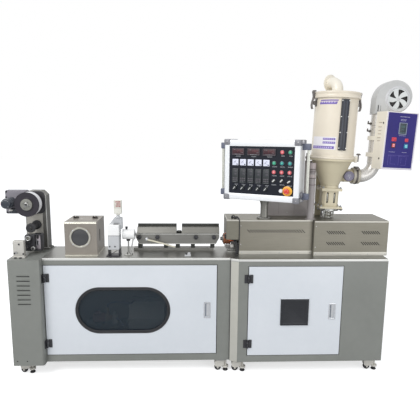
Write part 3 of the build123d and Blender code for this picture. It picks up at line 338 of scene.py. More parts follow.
black_rubber = coat("black rubber", (0.012, 0.012, 0.014), (0.03, 0.03, 0.033), 0.62, grain=900, bite=0.2)
caster_cast = coat("pale caster casting", (0.52, 0.5, 0.45), (0.66, 0.64, 0.59), 0.45, metal=0.15)
zinc = brushed("zinc plate", (0.34, 0.34, 0.34), (0.5, 0.5, 0.49), 0.36)
caster_x = (64, 1499, 1627, 2636)
caster_y = ((35.5, 281), (35.5, 281), (25, 307), (25, 307))
plates, castings, wheels, feet = [], [], [], []
for x, ys in zip(caster_x, caster_y):
    for y in ys:
        top = spot(x, y, 100, u=(1, 0, 0), v=(0, -1, 0))
        plates.append(put(top, slab(73, 73, 6.5, 8, 1)))
        for du in (-27, 27):
            for dv in (-27, 27):
                bolt = turned_skin([(5.5, 6.4), (5.5, 9), (4.5, 10)], 8)
                plates.append(put(spot(x + du, y + dv, 100, v=(0, -1, 0)), bolt))
        plates.append(put(top, turned_skin([(27, 6.4), (27, 10), (24, 13), (24, 6.4)], 24)))
        wheel_x = x - 19
        for side in (-1, 1):
            cheek = loft([
                (outline(62, 50, 20) + (6, 0), w) for w in (side * 14.2 - 2.2, side * 14.2 + 2.2)
            ])
            castings.append(put(spot(wheel_x, y, 58), cheek))
        castings.append(put(spot(x + 9, y, 62), slab(40, 44, 30, 6, 2, base=-15)))
        castings.append(put(spot(wheel_x, y - 18.5, 28), turned_skin([(7, 0), (7, 2), (5, 3.2)], 12)))
        tread = turned_skin(
            [(5.5, -10.6), (21, -10.6), (23.6, -8.8), (25, -5), (25, 5), (23.6, 8.8), (21, 10.6),
             (5.5, 10.6)], 40
        )
        wheels.append(put(spot(wheel_x, y, 28), tread))
        knurl = [(20, 26), (23, 26.5), (24, 28), (24, 38), (23, 39.5), (9, 41), (9, 82)]
        castings.append(put(spot(x + 38, y, 0, v=(0, 1, 0)), turned_skin(knurl, 28)))
        foot = [(17, 0), (19.5, 2), (19.5, 7), (16, 10), (9, 12), (7, 16), (7, 27)]
        feet.append(put(spot(x + 38, y, 0, v=(0, 1, 0)), turned_skin(foot, 24)))
piece("caster_plates", zinc, plates)
piece("caster_castings", caster_cast, castings, stands_for=("caster_brackets",))
piece("caster_treads", black_rubber, wheels, stands_for=("caster_wheels",))
piece("caster_feet", black_rubber, feet)


# Cabinets and end housing: folded steel sheet, powder coated in a warm grey with a fine texture.
# The bevelled corner of the right one carries a strip painted paler, a painted highlight, and a black seal
# fills the joint.
def dress(node, finish, bevel=0.0):
    """Gives a CAD node its finish; its edges are eased by a small bevel after its triangles are welded."""
    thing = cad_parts[node]
    thing.data.materials.clear()
    thing.data.materials.append(finish)
    weld = thing.modifiers.new("weld", "WELD")
    weld.merge_threshold = 0.00002
    if bevel:
        ease = thing.modifiers.new("ease", "BEVEL")
        ease.width = bevel / 1000
        ease.segments = 2
        ease.limit_method = "ANGLE"
        ease.angle_limit = np.radians(50)
        ease.harden_normals = True
    return thing


grey_coat = coat("grey powder coat", (0.19, 0.197, 0.18), (0.235, 0.242, 0.223), 0.42, grain=1800, bite=0.16)
bevel_highlight_coat = coat("painted highlight strip coat", (0.43, 0.42, 0.37), (0.5, 0.49, 0.44), 0.4, grain=1800, bite=0.12)
# Black for painted shade inside slots, louvres and openings, and for dark seam lines.
shade_and_seam_black = coat("painted shade and seam black", (0.006, 0.006, 0.007), (0.014, 0.014, 0.015), 0.8)
for node in ("left_cabinet", "right_cabinet", "end_housing"):
    dress(node, grey_coat, 1.2)
strip_turn = np.arctan2(24, 55)
along_bevel = (np.cos(strip_turn), -np.sin(strip_turn), 0)
# A plate on the bevel, painted paler: painted highlight where the bevel faces the light.
strip = slab(57, 765, 0.9, 0.6, 0.4)
piece("corner_highlight_strip", bevel_highlight_coat, [put(spot(1590.6, -27.6, 484, u=along_bevel), strip)])
seal = slab(4, 766, 3, 0.8, 0.8)
piece("joint_seal", black_rubber, [put(spot(1562, 0, 484), seal)])
# Black plates behind the louvres and the two round holes paint the shade inside them.
louvre_painted_shades = [put(spot(107, -50.5, 768 - i * 34), slab(90, 6.4, 1.5, 0.5, 0.3)) for i in range(7)]
louvre_painted_shades += [put(spot(x, -50.5, 134), turned_skin([(4.9, 0), (4.9, 1)], 16)) for x in (33, 103)]
piece("louvre_shade", shade_and_seam_black, louvre_painted_shades)
lips = []
for i in range(7):
    angle = np.linspace(0, np.pi / 2, 6)
    arc = np.column_stack([np.zeros(6), 3.6 + 4 * np.sin(angle), 3.0 * (1 - np.cos(angle))])
    hood = np.concatenate([arc + (-45, 0, 0), arc + (45, 0, 0)])
    back = hood - (0, 0.9, 0)
    skin = np.concatenate([hood, back])
    number = np.arange(24).reshape(4, 6)
    ring = [number[0], number[1], number[3], number[2]]
    lip_faces = []
    for a, b in zip(ring, ring[1:] + ring[:1]):
        lip_faces += np.stack([a[:-1], a[1:], b[1:], b[:-1]], -1).tolist()
    for k in (0, 5):
        lip_faces.append([int(r[k]) for r in ring])
    lips.append(put(spot(107, -57, 768 - i * 34), (skin, lip_faces)))
piece("louvre_lips", grey_coat, lips)

# Worktops: stainless sheet folded over the cabinets' tops, its grain along the line, with a front
# fold painted paler: a painted highlight along the edge.
table_steel = brushed("worktop steel", (0.325, 0.325, 0.31), (0.425, 0.425, 0.405), 0.4, fine=700)
# A paler steel for painted highlights on folds and edges, and for the bright sight-glass clips.
sheen_and_bright_steel = brushed("painted sheen and bright steel", (0.66, 0.66, 0.63), (0.78, 0.78, 0.75), 0.42, fine=600, tint=0.5)
dress("table_tops", table_steel, 1.5)
piece("left_fold_highlight", sheen_and_bright_steel, [put(spot(893.5, 0, 876.5), slab(1338, 16.4, 1.2, 1.5, 1.1))])
piece("right_fold_highlight", sheen_and_bright_steel, [
    put(spot(2159, -39, 876.5), slab(1081, 16.4, 1.2, 1.5, 1.1)),
    put(spot(1590.6, -27.6, 876.5, u=along_bevel), slab(58.5, 16.4, 1.2, 1.5, 1.1)),
])

# Doors: white powder-coated sheet. Each has a chromed flush pull with a sprung flap, and two black
# cast hinges with a pair of screws in each leaf.
white_coat = coat("white powder coat", (0.63, 0.662, 0.7), (0.695, 0.722, 0.757), 0.38, grain=1500, bite=0.1,
                  clear=0.15)
chrome = brushed("chromed trim", (0.66, 0.67, 0.7), (0.78, 0.79, 0.8), 0.14, fine=400, bite=0.03)
pull_grey = coat("pull flap", (0.34, 0.37, 0.42), (0.45, 0.48, 0.52), 0.3, metal=0.6)
black_cast = coat("black casting", (0.012, 0.012, 0.015), (0.035, 0.035, 0.04), 0.38, grain=700, bite=0.25)
screw_steel = brushed("screw steel", (0.4, 0.4, 0.4), (0.55, 0.55, 0.54), 0.28, fine=1500)
dress("left_door", white_coat, 1.4)
dress("right_door", white_coat, 1.4)
dress("door_hinges", black_cast, 0.8)


def frame_ring(width, height, depth, border, radius, base=0.0, edge=1.0):
    """A picture frame: outer outline up, over a rounded rim, across and down the inner outline."""
    inner = (width - 2 * border, height - 2 * border)
    rings = [(outline(width, height, radius), base)]
    for angle in np.radians([0, 45, 90]):
        inset = edge * (1 - np.cos(angle))
        rings.append(
            (outline(width - 2 * inset, height - 2 * inset, radius),
             base + depth - edge + edge * np.sin(angle)))
    for angle in np.radians([90, 45, 0]):
        inset = edge * (1 - np.cos(angle))
        shape = outline(inner[0] + 2 * inset, inner[1] + 2 * inset, max(radius - border, 1))
        rings.append((shape, base + depth - edge + edge * np.sin(angle)))
    rings.append((outline(*inner, max(radius - border, 1)), base))
    return loft(rings, closed=True)


def screw(radius, height=1.6):
    """A pan-head screw: a low dome."""
    dome = [(radius, 0), (radius, height * 0.4), (radius * 0.85, height * 0.8), (radius * 0.5, height)]
    return turned_skin(dome, 12)


for name, x, y in (("left", 1395, 0), ("right", 2306, -39)):
    place = spot(x, y, 492.5)
    piece(f"{name}_pull_rim", chrome, [put(place, frame_ring(50, 120, 3.4, 8, 4))], body=f"{name}_door")
    flap = [(np.column_stack([outline(20, 96, 3)[:, 0] + 5, outline(20, 96, 3)[:, 1]]), w)
            for w in (-6.5, -3)]
    piece(f"{name}_pull_flap", chrome, [put(place, loft(flap))], body=f"{name}_door")
    piece(f"{name}_pull_cup", pull_grey, [put(place, slab(34, 104, 2, 3, 0.5, base=-12.5))],
          body=f"{name}_door")
hinge_heights = (245, 740)
for name, axis_x, face_y in (("left", 235.5, 0), ("right", 1689.5, -39)):
    axis_y = face_y - (11 if name == "left" else 9)
    leaves, heads, knuckles = [], [], []
    for z in hinge_heights:
        leaves.append(put(spot(axis_x + 20, face_y - 0.1, z), slab(25, 62.8, 5.4, 3, 2)))
        for dz in (-19, 19):
            heads.append(put(spot(axis_x + 22, face_y - 5.4, z + dz), screw(4.6)))
        knuckles.append(put(spot(axis_x, axis_y, z - 10.2, v=(0, 1, 0)),
                            turned_skin([(7.4, 0), (7.8, 0.6), (7.8, 19.8), (7.4, 20.4)], 20)))
    piece(f"{name}_hinge_leaves", black_cast, leaves + knuckles, body=f"{name}_door")
    piece(f"{name}_hinge_screws", black_cast, heads, body=f"{name}_door")

# Window in the left door: smoked acrylic held by a black rubber profile whose two lips grip the
# sheet's round-ended hole.
smoke, smoke_output, start = new_material("smoked acrylic")
smoke_surface = start.add(
    "ShaderNodeBsdfPrincipled",
    inputs={"Base Color": (0.014, 0.026, 0.038, 1), "Roughness": 0.05, "Alpha": 0.56, "IOR": 1.49,
            "Specular IOR Level": 0.5},
)
start.tree.links.new(smoke_surface.socket, smoke_output.inputs["Surface"])
dress("window_glass", smoke)
window_x = (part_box("window_gasket")[0][0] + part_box("window_gasket")[1][0]) * 500 - HOME[0]
window_z = (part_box("window_gasket")[0][2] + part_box("window_gasket")[1][2]) * 500


def lip(profile, length=684, height=352, steps=22):
    """A rubber section (inset, w) carried round a round-ended window outline."""
    rings = [(outline(length - 2 * inset, height - 2 * inset, 400, steps), w) for inset, w in profile]
    return loft(rings, closed=True)


angle = np.radians(np.linspace(0, 180, 9))
outer_bead = [(6 - 6 * np.cos(a), 0.2 + 4.6 * np.sin(a)) for a in angle]
inner_bead = [(17 - 5 * np.cos(a), 0.6 + 3.2 * np.sin(a)) for a in angle]
front_lip = outer_bead + inner_bead + [(22, -8), (12, -8), (12, -0.5)]
back_lip = [(0, -22.2), (1.5, -25.6), (11, -26), (21, -25), (22, -14), (12, -14), (12, -21.6)]
seat = spot(window_x, 0, window_z)
piece("window_seal", black_rubber, [put(seat, lip(front_lip)), put(seat, lip(back_lip))], body="left_door",
      stands_for=("window_gasket",))

# Filter vent in the right door: a black moulded cover with a sloped rim and level blades over the
# filter mat, clipped on the door.
vent_black = coat("black moulding", (0.008, 0.009, 0.012), (0.02, 0.022, 0.028), 0.34, grain=500, bite=0.15)
vent_place = spot(2030.5, -39, 489)
rim = [(outline(206, 206, 5), 0), (outline(205, 205, 5), 5), (outline(199, 199, 4), 9.6),
       (outline(176, 176, 3), 10.4),
       (outline(172, 172, 2), 9.4)]
blades = []
for i in range(11):
    v = (i - 5) * 15.4
    section = np.array([[-7.2, 3.2], [-1, 9.2], [6.4, 9.8], [7.4, 9.0], [0, 7.4]])
    ends = [np.column_stack([np.full(5, u), section[:, 0] + v, section[:, 1]]) for u in (-86, 86)]
    number = np.arange(10).reshape(2, 5)
    faces = np.stack([number[0], np.roll(number[0], -1), np.roll(number[1], -1), number[1]], -1).tolist()
    blades.append((np.concatenate(ends), faces + [number[0].tolist(), number[1][::-1].tolist()]))
backing = slab(172, 172, 9.15, 2, 0.2)
piece("vent_cover", vent_black,
      [put(vent_place, loft(rim)), put(vent_place, backing), put(vent_place, *blades)],
      body="right_door", smooth=25)

# Water unit on the left cabinet's floor: a pale plastic tank with a sloped front, a shelf of bent
# steel, and on it a red motor with its brass pump, a filter bottle and the hoses between them.
def framework(x, y, z, lean=0.0, turn=0.0):
    """A system of its own at x, y, z: leant about Y, then turned about its upright, in degrees."""
    a, b = np.radians([lean, turn])
    tilt = np.array([[np.cos(a), 0, np.sin(a)], [0, 1, 0], [-np.sin(a), 0, np.cos(a)]])
    spin = np.array([[np.cos(b), -np.sin(b), 0], [np.sin(b), np.cos(b), 0], [0, 0, 1]])
    place = np.eye(4)
    place[:3, :3] = tilt @ spin
    place[:3, 3] = (x, y, z)
    return place


def swept(path, ring, scales=None):
    """A skin along a path of points: the ring is carried square to the path and never twists."""
    path = np.array(path, float)
    heading = np.gradient(path, axis=0)
    heading /= np.linalg.norm(heading, axis=1)[:, None]
    side = np.cross(heading[0], (0, 0, 1) if abs(heading[0][2]) < 0.9 else (0, 1, 0))
    points = []
    for k, (place, ahead) in enumerate(zip(path, heading)):
        side = side - ahead * (side @ ahead)
        side /= np.linalg.norm(side)
        size = 1.0 if scales is None else scales[k]
        points.append(place + size * (ring[:, :1] * side + ring[:, 1:] * np.cross(ahead, side)))
    count = len(ring)
    faces = strips(len(path), count, False, True).tolist()
    faces += [list(range(count))[::-1], list(range(len(path) * count - count, len(path) * count))]
    return np.concatenate(points), faces


def tube(points, radius, around=16, fine=6):
    """A round bar or hose: a Catmull-Rom curve through the points, p(t) = a cubic of four neighbours."""
    points = np.array(points, float)
    ends = np.vstack([2 * points[0] - points[1], points, 2 * points[-1] - points[-2]])
    t = np.linspace(0, 1, fine, endpoint=False)[:, None]
    path = [
        0.5 * (2 * b + (c - a) * t + (2 * a - 5 * b + 4 * c - d) * t**2 + (3 * b - a - 3 * c + d) * t**3)
        for a, b, c, d in zip(ends, ends[1:], ends[2:], ends[3:])
    ]
    return swept(np.vstack(path + [points[-1:]]), outline(2 * radius, 2 * radius, radius, around // 4))


def prism(shape, w0, w1, edge=0.0):
    """A plate with any outline in (u, v), from w0 to w1, its front rim drawn in by edge."""
    shape = np.array(shape, float)
    middle = shape.mean(axis=0)
    rings = [(shape, w0), (shape, w1 - edge)]
    if edge:
        away = shape - middle
        rings.append((shape - edge * away / np.maximum(np.linalg.norm(away, axis=1), 1)[:, None], w1))
    return loft(rings)


tank_white = coat("milky plastic", (0.5, 0.52, 0.5), (0.62, 0.63, 0.6), 0.32, grain=300, bite=0.05)
shelf_steel = brushed("shelf steel", (0.3, 0.3, 0.29), (0.42, 0.42, 0.4), 0.4)
motor_red = coat("red enamel", (0.32, 0.02, 0.015), (0.45, 0.04, 0.03), 0.3, grain=500, bite=0.1, clear=0.4)
brass = brushed("pump brass", (0.42, 0.3, 0.13), (0.58, 0.42, 0.2), 0.3)
pump_tan = coat("tan housing", (0.36, 0.22, 0.1), (0.5, 0.33, 0.17), 0.4)
hose_blue = coat("blue hose", (0.02, 0.06, 0.16), (0.04, 0.1, 0.24), 0.35, grain=500)
slope = [(172, 103), (342, 103), (342, 463), (248.5, 463), (172, 355)]
side_place = spot(797, 0, 0, u=(0, 1, 0))
piece("water_tank", tank_white, [put(side_place, prism([(u, v) for u, v in slope], 0, 270)),
                                 put(spot(932, 260, 463, v=(0, 1, 0)),
                                     turned_skin([(22, 0), (24, 2), (24, 12), (20, 15)], 24))],
      stands_for=("water_unit",))
shelf_parts = [put(spot(612.5, 247, 283.5, v=(0, 1, 0)), slab(315, 190, 3, 1, 0.5, base=-1.5))]
for x in (456.5, 768.5):
    shelf_parts.append(put(spot(x, 247, 194, u=(0, -1, 0)), slab(190, 182, 3, 1, 0.5, base=-1.5)))
piece("pump_shelf", shelf_steel, shelf_parts)
motor_place = spot(512, 247, 337, u=(0, 1, 0))
motor_shape = [(20, 0), (31, 1), (35, 4), (36, 8)]
for i in range(9):
    motor_shape += [(38, 12 + i * 8), (38, 15.5 + i * 8), (34.5, 16 + i * 8), (34.5, 19.5 + i * 8)]
piece("pump_motor", motor_red, [
    put(motor_place, turned_skin(motor_shape + [(37, 88), (37, 94), (30, 96)], 40)),
    put(spot(548, 247, 372, v=(0, 1, 0)), slab(44, 34, 14, 5, 2)),
])
piece("pump_feet", black_cast, [put(spot(560, 247, 285, v=(0, 1, 0)), slab(64, 52, 17, 4, 1))])
piece("pump_head", pump_tan, [
    put(spot(609, 247, 337, u=(0, 1, 0)),
        turned_skin([(30, 0), (31, 2), (31, 24), (26, 30), (20, 33), (20, 38), (8, 38)], 36)),
    put(spot(627, 247, 362, v=(0, 1, 0)), turned_skin([(12, 0), (12, 12), (9, 14), (9, 44)], 20)),
])
piece("pump_brass", brass, [
    put(spot(627, 247, 400, v=(0, 1, 0)), turned_skin([(10, 0), (12, 1), (12, 9), (9, 10), (9, 18)], 6)),
    put(spot(648, 247, 337, u=(0, 1, 0)), turned_skin([(10, 0), (11, 1), (11, 12), (8, 13), (8, 22)], 6)),
])
bottle = [(20, 0), (22, 2), (22, 58), (21, 66), (16, 74), (9, 78), (8, 80), (8, 84), (10, 85), (10, 96),
          (8, 97.5)]
piece("filter_bottle", tank_white, [put(spot(680, 247, 285, v=(0, 1, 0)), turned_skin(bottle, 28))])
piece("water_hoses", hose_blue, [
    tube([(627, 247, 415), (627, 244, 440), (660, 235, 462), (740, 225, 470), (800, 235, 452),
          (830, 255, 463)], 7),
    tube([(668, 247, 337), (700, 232, 330), (740, 215, 300), (768, 215, 200), (790, 220, 160),
          (800, 235, 150)], 7),
])

# Covers over the barrel and the drive: brushed steel sheet, folded and laser cut, with slanted
# slots in two rows, a paler skirt screwed to the worktop, and a black seal down each joint.
cover_steel = brushed("champagne steel", (0.225, 0.21, 0.173), (0.312, 0.294, 0.243), 0.4, fine=620, tint=0.7)
# The drive's cover takes the same steel made darker: painted shade.
shaded_drive_steel = brushed("champagne steel with painted shade", (0.182, 0.172, 0.141), (0.256, 0.241, 0.198), 0.4,
                      fine=620, tint=0.7)
skirt_steel = brushed("skirt steel", (0.5, 0.485, 0.43), (0.62, 0.6, 0.545), 0.38, fine=620, tint=0.4)
hood_steel = brushed("hood steel", (0.2, 0.19, 0.155), (0.28, 0.265, 0.215), 0.4, fine=620, tint=0.72)
dress("barrel_cover", cover_steel, 1.4)
dress("drive_cover", shaded_drive_steel, 1.4)
barrel_front, drive_front = 93, 53
slot_length, slot_width, slot_pitch, drive_slot_pitch = 32.8, 4.9, 20.2, 16.5
slots = [(1700 + slot_pitch * i, barrel_front, 1061) for i in range(21)]
slots += [(x + drive_slot_pitch * i, drive_front, z)
          for x in (2278, 2536) for z in (1059, 977) for i in range(8)]
# A black plate just inside each slot paints the shade in it.
slot_painted_shades = []
for x, front, z in slots:
    slot_painted_shades.append(
        put(spot(x, front + 0.9, z, u=(1, 0, -1), v=(1, 0, 1)), slab(slot_length, slot_width, 0.5, 0.4, 0.2)))
piece("slot_shade", shade_and_seam_black, slot_painted_shades)
skirt_z, fold_z, skirt_sheet = 899.5, 1139.5, 1.6
piece("cover_skirts", skirt_steel, [
    put(spot(1901.5, barrel_front, skirt_z), slab(541, 28, 1.6, 0.8, 0.8)),
    put(spot(2449, drive_front, skirt_z), slab(546, 28, 1.6, 0.8, 0.8)),
    put(spot(2724, 206.5, skirt_z, u=(0, 1, 0)), slab(303, 28, 1.6, 0.8, 0.8)),
    put(spot(1901.5, barrel_front, fold_z), slab(541, 10, 1.2, 0.8, 0.8)),
    put(spot(2449, drive_front, fold_z), slab(546, 10, 1.2, 0.8, 0.8)),
])
cover_screws = [put(spot(x, barrel_front - skirt_sheet, skirt_z), screw(4))
                for x in (1650, 1790, 1930, 2070, 2160)]
cover_screws += [put(spot(x, drive_front - skirt_sheet, skirt_z), screw(4))
                 for x in (2190, 2320, 2450, 2580, 2708)]
cover_screws += [put(spot(x, y, 1146, v=(0, 1, 0)), screw(4)) for x in (1660, 1760, 2160, 2196, 2460, 2700)
                 for y in (112, 340)]
cover_screws += [put(spot(1642, 93, z), screw(4)) for z in (960, 1100)]
cover_screws += [put(spot(2187, 53, z), screw(4)) for z in (950, 1105)]
piece("cover_screws", screw_steel, cover_screws)
piece("cover_seals", black_rubber, [
    put(spot(1629.5, 93, 1007), slab(3.2, 243, 1.4, 0.5, 0.5)),
    put(spot(2173, 92, 1015.5), slab(2.4, 259, 1.2, 0.5, 0.5)),
])

# Die: the barrel's nose in a mica heater band, on a stack of steel plates, under a sheet hood. A black
# gland on the hood passes the thermocouple leads, which run down the hood's joint.
dress("die_hood", hood_steel, 1.2)
die_steel = brushed("die steel", (0.13, 0.13, 0.13), (0.24, 0.24, 0.235), 0.42, tint=0.8)
copper_band = brushed("heater band", (0.2, 0.075, 0.035), (0.34, 0.14, 0.07), 0.42, fine=300, tint=0.7)
orange_lead = coat("orange lead", (0.62, 0.1, 0.02), (0.75, 0.16, 0.03), 0.4)
dress("die_head", die_steel, 1.0)
pale_block = coat("ceramic block", (0.55, 0.54, 0.5), (0.68, 0.66, 0.62), 0.4)
band = [(31, 0), (41, 0.4), (42, 2), (42, 12), (39.5, 13), (39.5, 22), (42, 23), (42, 31), (39.5, 32),
        (39.5, 41), (42, 42), (42, 52), (41, 53.6), (31, 54)]
piece("band_heater", copper_band,
      [put(spot(1520, 205, 980, u=(0, 1, 0)), turned_skin(band, 48, closed=True))],
      stands_for=("heater_band",))
piece("band_terminal", black_cast, [put(spot(1547, 205, 1021, v=(0, 1, 0)), slab(24, 22, 9, 3, 1)),
                                    put(spot(1590, 160, 1008), slab(16, 22, 22, 2, 1)),
                                    put(spot(1530, 152, 1012), slab(13, 30, 24, 2, 1.5))])
piece("die_plates", table_steel, [
    put(spot(1588, 205, 885, v=(0, 1, 0)), slab(78, 92, 9, 3, 1)),
    put(spot(1588, 205, 899, v=(0, 1, 0)), slab(70, 86, 8, 3, 1)),
    put(spot(1572, 205, 912, v=(0, 1, 0)), slab(66, 82, 7, 3, 1)),
    put(spot(1560, 205, 924, v=(0, 1, 0)), slab(60, 70, 5, 3, 1)),
])
piece("sensor_block", pale_block, [put(spot(1583, 168, 936), slab(24, 22, 22, 2, 1.5))])
piece("heater_leads", orange_lead, [
    tube([(1556, 196, 1026), (1552, 170, 1018), (1546, 152, 1000), (1556, 146, 984), (1578, 146, 978),
          (1604, 152, 982)], 3.2),
    tube([(1538, 196, 1026), (1532, 168, 1022), (1530, 150, 1008), (1540, 142, 992), (1566, 140, 982),
          (1600, 150, 974)], 2.6),
])
piece("black_leads", black_rubber, [
    tube([(1560, 150, 1000), (1590, 132, 990), (1612, 112, 968), (1618, 102, 930), (1614, 100, 900),
          (1606, 104, 887)], 7.5, 16),
    tube([(1606, 150, 1157), (1614, 120, 1164), (1624, 98, 1158), (1629.5, 88, 1138), (1630, 87.5, 1060),
          (1629, 88, 990),
          (1626, 92, 930), (1620, 98, 888)], 3.0, 12),
    tube([(1600, 150, 1160), (1590, 138, 1172), (1578, 130, 1168), (1574, 134, 1156), (1580, 150, 1150)], 3.0,
         12),
])
piece("hood_gland", black_cast, [
    put(spot(1604, 152, 1146, v=(0, 1, 0)),
        turned_skin([(13, 0), (13, 5), (10, 6), (10, 13), (8, 16), (4, 17)], 6)),
    put(spot(1586, 170, 1146, v=(0, 1, 0)), turned_skin([(10, 0), (10, 5), (7, 6), (7, 12), (4, 14)], 12)),
    put(spot(1612, 178, 1146, v=(0, 1, 0)), slab(26, 12, 9, 2, 1.5)),
    put(spot(1622, 118, 1146, v=(0, 1, 0)), slab(9, 30, 8, 2, 1.5)),
])
piece("hood_trims", skirt_steel, [
    put(spot(1581, 93, 1140.5), slab(92, 9, 1.1, 0.8, 0.8)),
    put(spot(1538, 226, 1146, v=(0, 1, 0)), slab(5, 264, 0.9, 0.8, 0.6)),
    put(spot(1583, 96, 1146, v=(0, 1, 0)), slab(88, 5, 0.9, 0.8, 0.6)),
])

# Winder stand: a post folded from steel sheet with cut shoulders, bolted to the worktop, with a
# round gear cover behind the spool. Motor and gearbox hang on its left.
# The stand's steel is darkened to its shaded side: painted shade. The plate on its front is painted paler:
# painted light.
shaded_stand_steel = brushed("stand steel with painted shade", (0.13, 0.127, 0.117), (0.19, 0.185, 0.172), 0.4, along=(0, 0, 1),
                      tint=0.6)
lit_stand_plate = brushed("stand front plate with painted light", (0.42, 0.4, 0.36), (0.54, 0.52, 0.47), 0.4, along=(0, 0, 1),
                      tint=0.4)
dress("winder_stand", shaded_stand_steel, 1.5)
piece("stand_front_lit_plate", lit_stand_plate, [put(spot(98, 262, 1046), slab(118, 290, 1.6, 3, 1))])
post_shape = np.array([(30, 893), (30, 1298), (64, 1332), (155, 1332), (189, 1298), (189, 893)], float)
inner_shape = np.array([(36, 897), (36, 1295.5), (66.5, 1326), (152.5, 1326), (183, 1295.5), (183, 897)],
                       float)
# A pale outline round the stand's front: painted highlight along its edge.
piece("stand_edge_highlight", sheen_and_bright_steel, [
    put(spot(0, 262, 0),
        loft([(post_shape, 0), (post_shape, 1.2), (inner_shape, 1.2), (inner_shape, 0)], closed=True))])
piece("stand_bolts", screw_steel, [
    put(spot(x, y, 893, v=(0, 1, 0)), turned_skin([(6, 0), (6, 4.5), (5, 5.5)], 6)) for x in (26, 196)
    for y in (262, 328)])
gear_black = coat("gear cover black", (0.018, 0.017, 0.02), (0.04, 0.038, 0.045), 0.42, grain=900, bite=0.2)
piece("gear_cover", gear_black, [put(spot(125, 262, 1246), slab(116, 172, 13, 42, 4, steps=10))])
lilac_cast = coat("lilac grey casting", (0.15, 0.142, 0.165), (0.23, 0.22, 0.245), 0.45, grain=600, bite=0.3,
                  metal=0.2)
motor_blue = coat("dark blue enamel", (0.02, 0.026, 0.036), (0.04, 0.048, 0.062), 0.34, grain=500, bite=0.12,
                  clear=0.2)
place = spot(-13.5, 262, 1252.5)
piece("gearbox", lilac_cast, [
    put(place, slab(159, 175, 44, 12, 5, steps=6)),
    put(place, slab(140, 156, 50, 10, 3, steps=6)),
    put(spot(-2, 212, 1236), turned_skin([(54, 0), (54, 3), (52, 4)], 40)),
], stands_for=("winder_motor",))
piece("gearbox_bolts", black_cast, [
    put(spot(x, 219, z), turned_skin([(8.5, 0), (8.5, 5), (7, 7)], 16))
    for x, z in ((-82, 1329), (-82, 1176), (55, 1176), (-84, 1288))])
body_profile = [(36, 0), (36, 52), (38.5, 53), (39, 55), (39, 66), (37, 68), (37, 74), (39, 76), (39, 88),
                (38.5, 90), (35, 92),
                (35, 108), (34, 113), (31, 116.5), (26, 118.5), (12, 119.5), (1, 120)]
piece("motor_body", motor_blue, [
    put(spot(-44, 212, 1255), turned_skin(body_profile, 48)),
    put(spot(-30, 212, 1190), slab(52, 32, 26, 4, 3)),
    put(spot(20, 212, 1182), slab(34, 22, 18, 4, 3)),
])
piece("motor_tag", pale_block, [put(spot(-46, 186, 1196), slab(26, 12, 0.8, 0.5, 0.3))])
piece("motor_rivets", screw_steel, [
    put(spot(-44 + 27 * np.cos(a), 94.5, 1255 + 27 * np.sin(a)), screw(2.6, 1.4))
    for a in np.radians([45, 135, 225, 315])])

# Spool: two black moulded flanges on a core, white filament wound between them in close turns,
# clamped by a knurled grey hub on the winder's shaft.
spool_black = coat("spool plastic", (0.014, 0.012, 0.018), (0.032, 0.028, 0.038), 0.36, grain=500, bite=0.12)
filament_white = coat("white filament", (0.74, 0.74, 0.76), (0.86, 0.86, 0.87), 0.42, grain=700, bite=0.1,
                      patch=6)
hub_grey = brushed("knurled hub", (0.2, 0.2, 0.18), (0.31, 0.31, 0.28), 0.4, fine=400, tint=0.6)
front_disc = [(34, 0), (88.5, 0), (89.5, 1), (89.5, 3.4), (88.8, 4), (85.5, 4), (84.5, 3.1), (50, 3.1),
              (48.8, 4), (12, 4), (12, 1), (34, 1)]
back_disc = [(34, 0), (10.4, 0), (10.4, -4), (86, -4), (88.5, -3.8), (89.5, -3), (89.5, -1), (88.5, 0)]
piece("spool_flanges", spool_black, [
    put(spot(91, 139, 1246), turned_skin(front_disc, 96, closed=True)),
    put(spot(91, 201, 1246), turned_skin(back_disc, 96, closed=True)),
    put(spot(91, 201, 1246), turned_skin([(33.8, 0), (33.8, 62), (30, 62), (30, 0)], 48, closed=True)),
], body="spool", stands_for=("spool",))
turns = [(34.5, 1)]
for i in range(29):
    turns += [(86.2, 1.6 + 2 * i), (87, 2.2 + 2 * i), (87, 2.9 + 2 * i)]
piece("filament_turns", filament_white, [
    put(spot(91, 201, 1246), turned_skin(turns + [(86.2, 60.4), (34.5, 61)], 72, closed=True))],
    body="spool", smooth=60, stands_for=("filament",))
angle = np.linspace(0, 2 * np.pi, 96, endpoint=False)
knurl = 42.3 + 0.7 * np.cos(24 * angle)
rings = []
for scale, w in ((0.97, 0), (1, 1), (1, 10), (0.975, 11.4), (0.9, 12)):
    rings.append((scale * np.column_stack([knurl * np.cos(angle), knurl * np.sin(angle)]), w))
piece("spool_hub", hub_grey, [put(spot(91, 135, 1246), loft(rings))], body="spool")
piece("spool_hub_marks", die_steel, [
    put(spot(91 + 24 * np.cos(a), 123, 1246 + 24 * np.sin(a)),
        turned_skin([(5.5, 0), (5.5, 0.8), (4.4, 1.4)], 20))
    for a in np.radians([-28, 62, 152, 242])], body="spool")
piece("winder_shaft", screw_steel, [
    put(spot(91, 123, 1246), turned_skin([(9.6, -1), (9.6, 9), (8.6, 10)], 24)),
    put(spot(91, 124, 1246), turned_skin([(15, 0), (15, 5), (13, 6.4)], 6))])

# Guide roller: two black rubber-faced discs on a sleeve that runs on a short shaft of the stand.
roller = [(8.2, 0), (31, 0), (33.4, 1.2), (34, 3.6), (34, 20), (32.6, 23.4), (28, 25.6), (21, 26), (21, 112),
          (28, 112.4),
          (32.6, 114.6), (34, 118), (34, 134.4), (33.4, 136.8), (31, 138), (22, 138), (20, 135.6),
          (12, 135.6), (10, 138), (8.2, 138)]
piece("roller_discs", black_rubber, [put(spot(114, 256, 1076), turned_skin(roller, 56, closed=True))],
      body="guide_roller", stands_for=("guide_roller",))
piece("roller_cap", black_cast, [put(spot(114, 118, 1076), turned_skin([(7.6, 0), (7.6, 3), (6, 4)], 20))])

